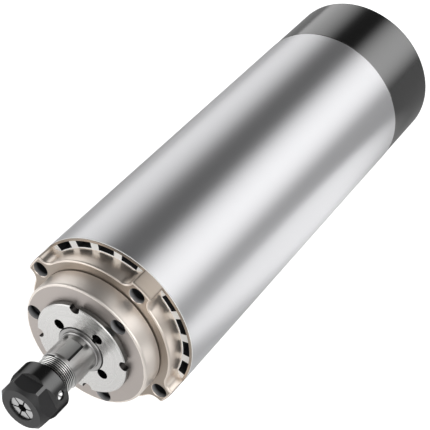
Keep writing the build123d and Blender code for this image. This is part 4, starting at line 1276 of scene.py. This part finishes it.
class SPINDLE_OT_collet_and_nut(bpy.types.Operator):
    """Dress the slit collet and its hexagon nut"""

    bl_idname = "spindle.collet_and_nut"
    bl_label = "Collet and nut"

    collet_edge = 0.06
    # balance hole: its radius, its place, and where its floor lies
    hole_radius = 1.53
    hole_angle = 18.0
    hole_station = -40.1
    hole_floor = 7.2
    # the hexagon ends here, and its corners lie farther out than its milled flats
    flats_end = -43.0
    corner_radius = 9.4

    def in_hole(self, x, y, z):
        """Whether a point lies in the nut's balance hole."""
        turn = radians(self.hole_angle)
        along = x * cos(turn) + z * sin(turn)
        across = z * cos(turn) - x * sin(turn)
        near = across ** 2 + (y - self.hole_station) ** 2 < (self.hole_radius + SLACK) ** 2
        return near and along > self.hole_floor

    def execute(self, context):
        width = context.scene.spindle_sizes.edge_break
        collet = dressed_copy("collet", "collet_body", self.collet_edge * MM)
        hand_over(collet, "collet")
        nut = dressed_copy("collet_nut", "collet_nut_body", width, limit=20.0, sharp=15.0)
        hand_over(nut, "collet_nut")
        part_finish(nut, finish("drilled_bare_steel"), self.in_hole)
        part_finish(
            nut, finish("milled_black_oxide"),
            lambda x, y, z: y < self.flats_end and x * x + z * z < self.corner_radius ** 2,
        )
        return {"FINISHED"}


class SPINDLE_OT_rear_cap(bpy.types.Operator):
    """Dress the rear cap with its air inlets"""

    bl_idname = "spindle.rear_cap"
    bl_label = "Rear cap"

    edge = 0.12

    def execute(self, context):
        hand_over(dressed_copy("rear_cap", "rear_cap_shell", self.edge * MM), "rear_cap")
        return {"FINISHED"}


class SPINDLE_OT_power_socket(bpy.types.Operator):
    """Make the power socket's threaded shell, insert and contacts"""

    bl_idname = "spindle.power_socket"
    bl_label = "Power socket"

    barrel = 8.0
    bore = 6.25
    bore_chamfer = 0.2
    flange = 10.0
    flange_height = 2.5
    flange_chamfer = 0.3
    # thread: how high its ridge is for its pitch, and how far from the cap it starts
    ridge_share = 0.55
    thread_from = 3.2
    thread_chamfer = 0.1
    contacts = 4
    contact_circle = 3.5
    contact = 0.75
    contact_tip = 0.25
    insert_edge = 0.1

    def execute(self, context):
        self.shell(context.scene.spindle_sizes.socket_thread_pitch / MM)
        insert = dressed_copy("connector_insert", "power_socket_insert", self.insert_edge * MM)
        hand_over(insert, "connector_insert")
        self.pins()
        return {"FINISHED"}

    def shell(self, pitch):
        """The socket's shell: a flange on the cap and a threaded barrel."""
        ridge = pitch * self.ridge_share
        root = self.barrel - ridge
        front, rear = station("connector_shell", 0), station("connector_shell", 1)
        face = station("rear_cap", 1)
        profile = [
            (self.bore, front), (self.barrel, front), (self.barrel, face), (self.flange, face),
            (self.flange, face + self.flange_height - self.flange_chamfer),
            (self.flange - self.flange_chamfer, face + self.flange_height),
            (root, face + self.flange_height), (root, rear - self.thread_chamfer),
            (root - self.thread_chamfer, rear), (self.bore + self.bore_chamfer, rear),
            (self.bore, rear - self.bore_chamfer),
        ]
        piece = turned_piece("power_socket_shell", profile, 72)
        run_tree(piece, shared_tree("thread_ridge", thread_tree), {
            "Radius": root * MM, "Start": (face + self.thread_from) * MM,
            "Length": (rear - face - self.thread_from - ridge) * MM, "Pitch": pitch * MM,
            "Ridge": ridge * MM, "Material": finish_of("connector_shell"),
        })
        hand_over(piece, "connector_shell")

    def pins(self):
        """The contacts on their circle, with chamfered tips."""
        start, end = station("connector_pins", 0), station("connector_pins", 1)
        piece = turned_piece("power_socket_contacts", [
            (0, start), (self.contact, start), (self.contact, end - self.contact_tip),
            (self.contact - self.contact_tip, end), (0, end),
        ], 18, [(self.contact_circle, 0)])
        run_tree(piece, shared_tree("repeat_round_shaft", ring_tree), {
            "Count": self.contacts, "First Angle": 0.0, "Material": finish_of("connector_pins"),
        })
        hand_over(piece, "connector_pins")


class SPINDLE_OT_inner_pieces(bpy.types.Operator):
    """Give the pieces inside the body their finishes"""

    bl_idname = "spindle.inner_pieces"
    bl_label = "Inner pieces"

    kept = (
        "front_outer_races", "front_inner_races", "front_balls", "front_cages",
        "rear_outer_race", "rear_inner_race", "rear_balls", "rear_cage", "preload_spring",
        "stator_core", "stator_winding", "rotor_core", "rotor_end_rings", "rear_bracket",
        "cooling_fan", "fan_nut", "connector_nut", "phase_leads", "earth_lead",
    )

    def execute(self, context):
        for node in self.kept:
            for slot in frame["nodes"][node].material_slots:
                slot.material = finish_of(node)
        return {"FINISHED"}


# Stage


class SPINDLE_OT_stage(bpy.types.Operator):
    """Make the floor, the studio light and the camera"""

    bl_idname = "spindle.stage"
    bl_label = "Stage"

    # direction, radiance, half width in degrees where it is full and where it has faded
    softboxes = (
        ((0.535, 0.66, 0.525), 1.7, 0, 32),
        ((-0.70, 0.66, 0.27), 1.05, 3, 33),
        ((-0.76, -0.62, 0.20), 1.7, 10, 34),
        ((0.95, -0.30, 0.10), 2.4, 8, 30),
        ((0.30, -0.70, 0.65), 0.9, 6, 32),
        ((0.55, -0.66, 0.51), 2.2, 5, 24),
    )
    sky_top = 0.04
    sky_horizon = 0.3
    # where the floor glows in metal: middle, stretch along Y, strength, full and faded radius in mm
    pools = (
        ((-120.0, -120.0), 1.0, 0.75, 90.0, 280.0),
        ((100.0, 115.0), 1.35, 0.95, 50.0, 90.0),
        ((-260.0, 250.0), 1.0, 0.45, 70.0, 140.0),
    )
    floor_far = 0.02
    # how bright the camera sees the floor, and the height at which the sky's top value is reached
    floor_seen = 0.95
    sky_height = 0.7
    # the photograph's viewpoint, solved on the spindle's round edges: place in mm, and directions
    camera_place = (200.324, -253.804, 305.175)
    camera_right = (0.84746, 0.53086, 0.0)
    camera_up = (-0.33395, 0.53312, 0.77734)
    sensor = 36.0
    lens = 108.37
    clip = (0.01, 20.0)

    def floor(self, context):
        """A plain pale floor that the camera sees as white, and that the metal sees with painted
        pools of glow.
        """
        half = context.scene.spindle_sizes.floor_size / 2
        level = CAD_BOX[0][2]
        mesh = bpy.data.meshes.new("floor")
        mesh.from_pydata(
            [(x * half, y * half, level) for x, y in ((-1, -1), (1, -1), (1, 1), (-1, 1))],
            [], [(0, 1, 2, 3)],
        )
        floor = bpy.data.objects.new("floor", mesh)
        context.scene.collection.objects.link(floor)
        material = bpy.data.materials.new("pale_floor")
        material.use_nodes = True
        tree = material.node_tree
        tree.nodes.clear()
        colour = (*context.scene.spindle_colours.floor, 1)
        paint = add_node(tree, "ShaderNodeBsdfDiffuse", {"Color": colour})
        path = add_node(tree, "ShaderNodeLightPath")
        mirrored = add_node(tree, "ShaderNodeMath", {
            0: path.outputs["Is Glossy Ray"], 1: path.outputs["Is Transmission Ray"],
        }, operation="ADD")
        place = add_node(tree, "ShaderNodeTexCoord")
        glowing = self.floor_far
        for (x, y), stretch, strength, full, faded in self.pools:
            away = add_node(tree, "ShaderNodeVectorMath", {
                0: place.outputs["Object"], 1: (x * MM, y * MM, level),
            }, operation="SUBTRACT")
            squeezed = add_node(tree, "ShaderNodeVectorMath", {
                0: away.outputs[0], 1: (1, 1 / stretch, 1),
            }, operation="MULTIPLY")
            distance = add_node(
                tree, "ShaderNodeVectorMath", {0: squeezed.outputs[0]}, operation="LENGTH"
            )
            pool = add_node(tree, "ShaderNodeMapRange", {
                "Value": distance.outputs["Value"], "From Min": full * MM,
                "From Max": faded * MM, "To Min": strength, "To Max": 0.0,
            }, interpolation_type="SMOOTHSTEP")
            glowing = add_node(
                tree, "ShaderNodeMath", {0: glowing, 1: pool.outputs[0]}, operation="ADD"
            ).outputs[0]
        seen_in_metal = add_node(
            tree, "ShaderNodeMath", {0: mirrored.outputs[0], 1: glowing}, operation="MULTIPLY"
        )
        seen = add_node(tree, "ShaderNodeMath", {
            0: path.outputs["Is Camera Ray"], 1: self.floor_seen, 2: seen_in_metal.outputs[0],
        }, operation="MULTIPLY_ADD")
        glow = add_node(tree, "ShaderNodeEmission", {
            "Color": (1, 1, 1, 1), "Strength": seen.outputs[0],
        })
        both = add_node(tree, "ShaderNodeAddShader", {
            0: paint.outputs[0], 1: glow.outputs[0],
        })
        add_node(tree, "ShaderNodeOutputMaterial", {"Surface": both.outputs[0]})
        mesh.materials.append(material)

    def world(self, context):
        """Dim above, lighter towards the horizon, with soft round lights in six directions."""
        world = bpy.data.worlds.new("studio")
        world.use_nodes = True
        tree = world.node_tree
        tree.nodes.clear()
        place = add_node(tree, "ShaderNodeTexCoord")
        look = add_node(
            tree, "ShaderNodeVectorMath", {0: place.outputs["Generated"]}, operation="NORMALIZE"
        )
        split = add_node(tree, "ShaderNodeSeparateXYZ", {0: look.outputs[0]})
        sky = add_node(tree, "ShaderNodeMapRange", {
            "Value": split.outputs["Z"], "From Min": 0.0, "From Max": self.sky_height,
            "To Min": self.sky_horizon, "To Max": self.sky_top,
        }, interpolation_type="SMOOTHSTEP")
        total = sky.outputs[0]
        for direction, radiance, full, faded in self.softboxes:
            towards = add_node(tree, "ShaderNodeVectorMath", {
                0: look.outputs[0], 1: Vector(direction).normalized(),
            }, operation="DOT_PRODUCT")
            glow = add_node(tree, "ShaderNodeMapRange", {
                "Value": towards.outputs["Value"], "From Min": cos(radians(faded)),
                "From Max": cos(radians(full)), "To Min": 0.0, "To Max": radiance,
            }, interpolation_type="SMOOTHSTEP")
            total = add_node(
                tree, "ShaderNodeMath", {0: total, 1: glow.outputs[0]}, operation="ADD"
            ).outputs[0]
        path = add_node(tree, "ShaderNodeLightPath")
        plain = add_node(tree, "ShaderNodeMix", {
            "Factor": path.outputs["Is Camera Ray"], "A": total, "B": 1.0,
        }, data_type="FLOAT")
        light = add_node(tree, "ShaderNodeBackground", {
            "Color": (1, 1, 1, 1), "Strength": plain.outputs["Result"],
        })
        add_node(tree, "ShaderNodeOutputWorld", {"Surface": light.outputs[0]})
        context.scene.world = world

    def camera(self, context):
        """The photograph's viewpoint."""
        data = bpy.data.cameras.new("camera")
        data.sensor_width = self.sensor
        data.lens = self.lens
        data.clip_start, data.clip_end = self.clip
        camera = bpy.data.objects.new("camera", data)
        right, up = Vector(self.camera_right), Vector(self.camera_up)
        turn = Matrix((right, up, right.cross(up))).transposed().to_4x4()
        camera.matrix_world = Matrix.Translation(Vector(self.camera_place) * MM) @ turn
        context.scene.collection.objects.link(camera)
        context.scene.camera = camera

    def execute(self, context):
        self.floor(context)
        self.world(context)
        self.camera(context)
        context.scene.view_settings.view_transform = "Standard"
        return {"FINISHED"}


# Panel and registration

OPERATORS = (
    SPINDLE_OT_body_tube,
    SPINDLE_OT_front_bracket,
    SPINDLE_OT_nose_rings,
    SPINDLE_OT_screws,
    SPINDLE_OT_shaft,
    SPINDLE_OT_collet_and_nut,
    SPINDLE_OT_rear_cap,
    SPINDLE_OT_power_socket,
    SPINDLE_OT_inner_pieces,
    SPINDLE_OT_stage,
)


class SPINDLE_PT_panel(bpy.types.Panel):
    """Sizes, colours and operators of the motor spindle"""

    bl_label = "Motor spindle"
    bl_idname = "SPINDLE_PT_panel"
    bl_space_type = "VIEW_3D"
    bl_region_type = "UI"
    bl_category = "Spindle"

    def draw(self, context):
        for group in (context.scene.spindle_sizes, context.scene.spindle_colours):
            box = self.layout.box()
            for name in group.__annotations__:
                box.prop(group, name)
        for operator in OPERATORS:
            self.layout.operator(operator.bl_idname)


CLASSES = (SpindleSizes, SpindleColours, *OPERATORS, SPINDLE_PT_panel)


def register():
    for kind in CLASSES:
        bpy.utils.register_class(kind)
    bpy.types.Scene.spindle_sizes = bpy.props.PointerProperty(type=SpindleSizes)
    bpy.types.Scene.spindle_colours = bpy.props.PointerProperty(type=SpindleColours)


def unregister():
    del bpy.types.Scene.spindle_colours
    del bpy.types.Scene.spindle_sizes
    for kind in reversed(CLASSES):
        bpy.utils.unregister_class(kind)


def main():
    """Register the add-on, and build every piece and the stage."""
    register()
    for operator in OPERATORS:
        group, name = operator.bl_idname.split(".")
        getattr(getattr(bpy.ops, group), name)()


if __name__ == "__main__":
    main()
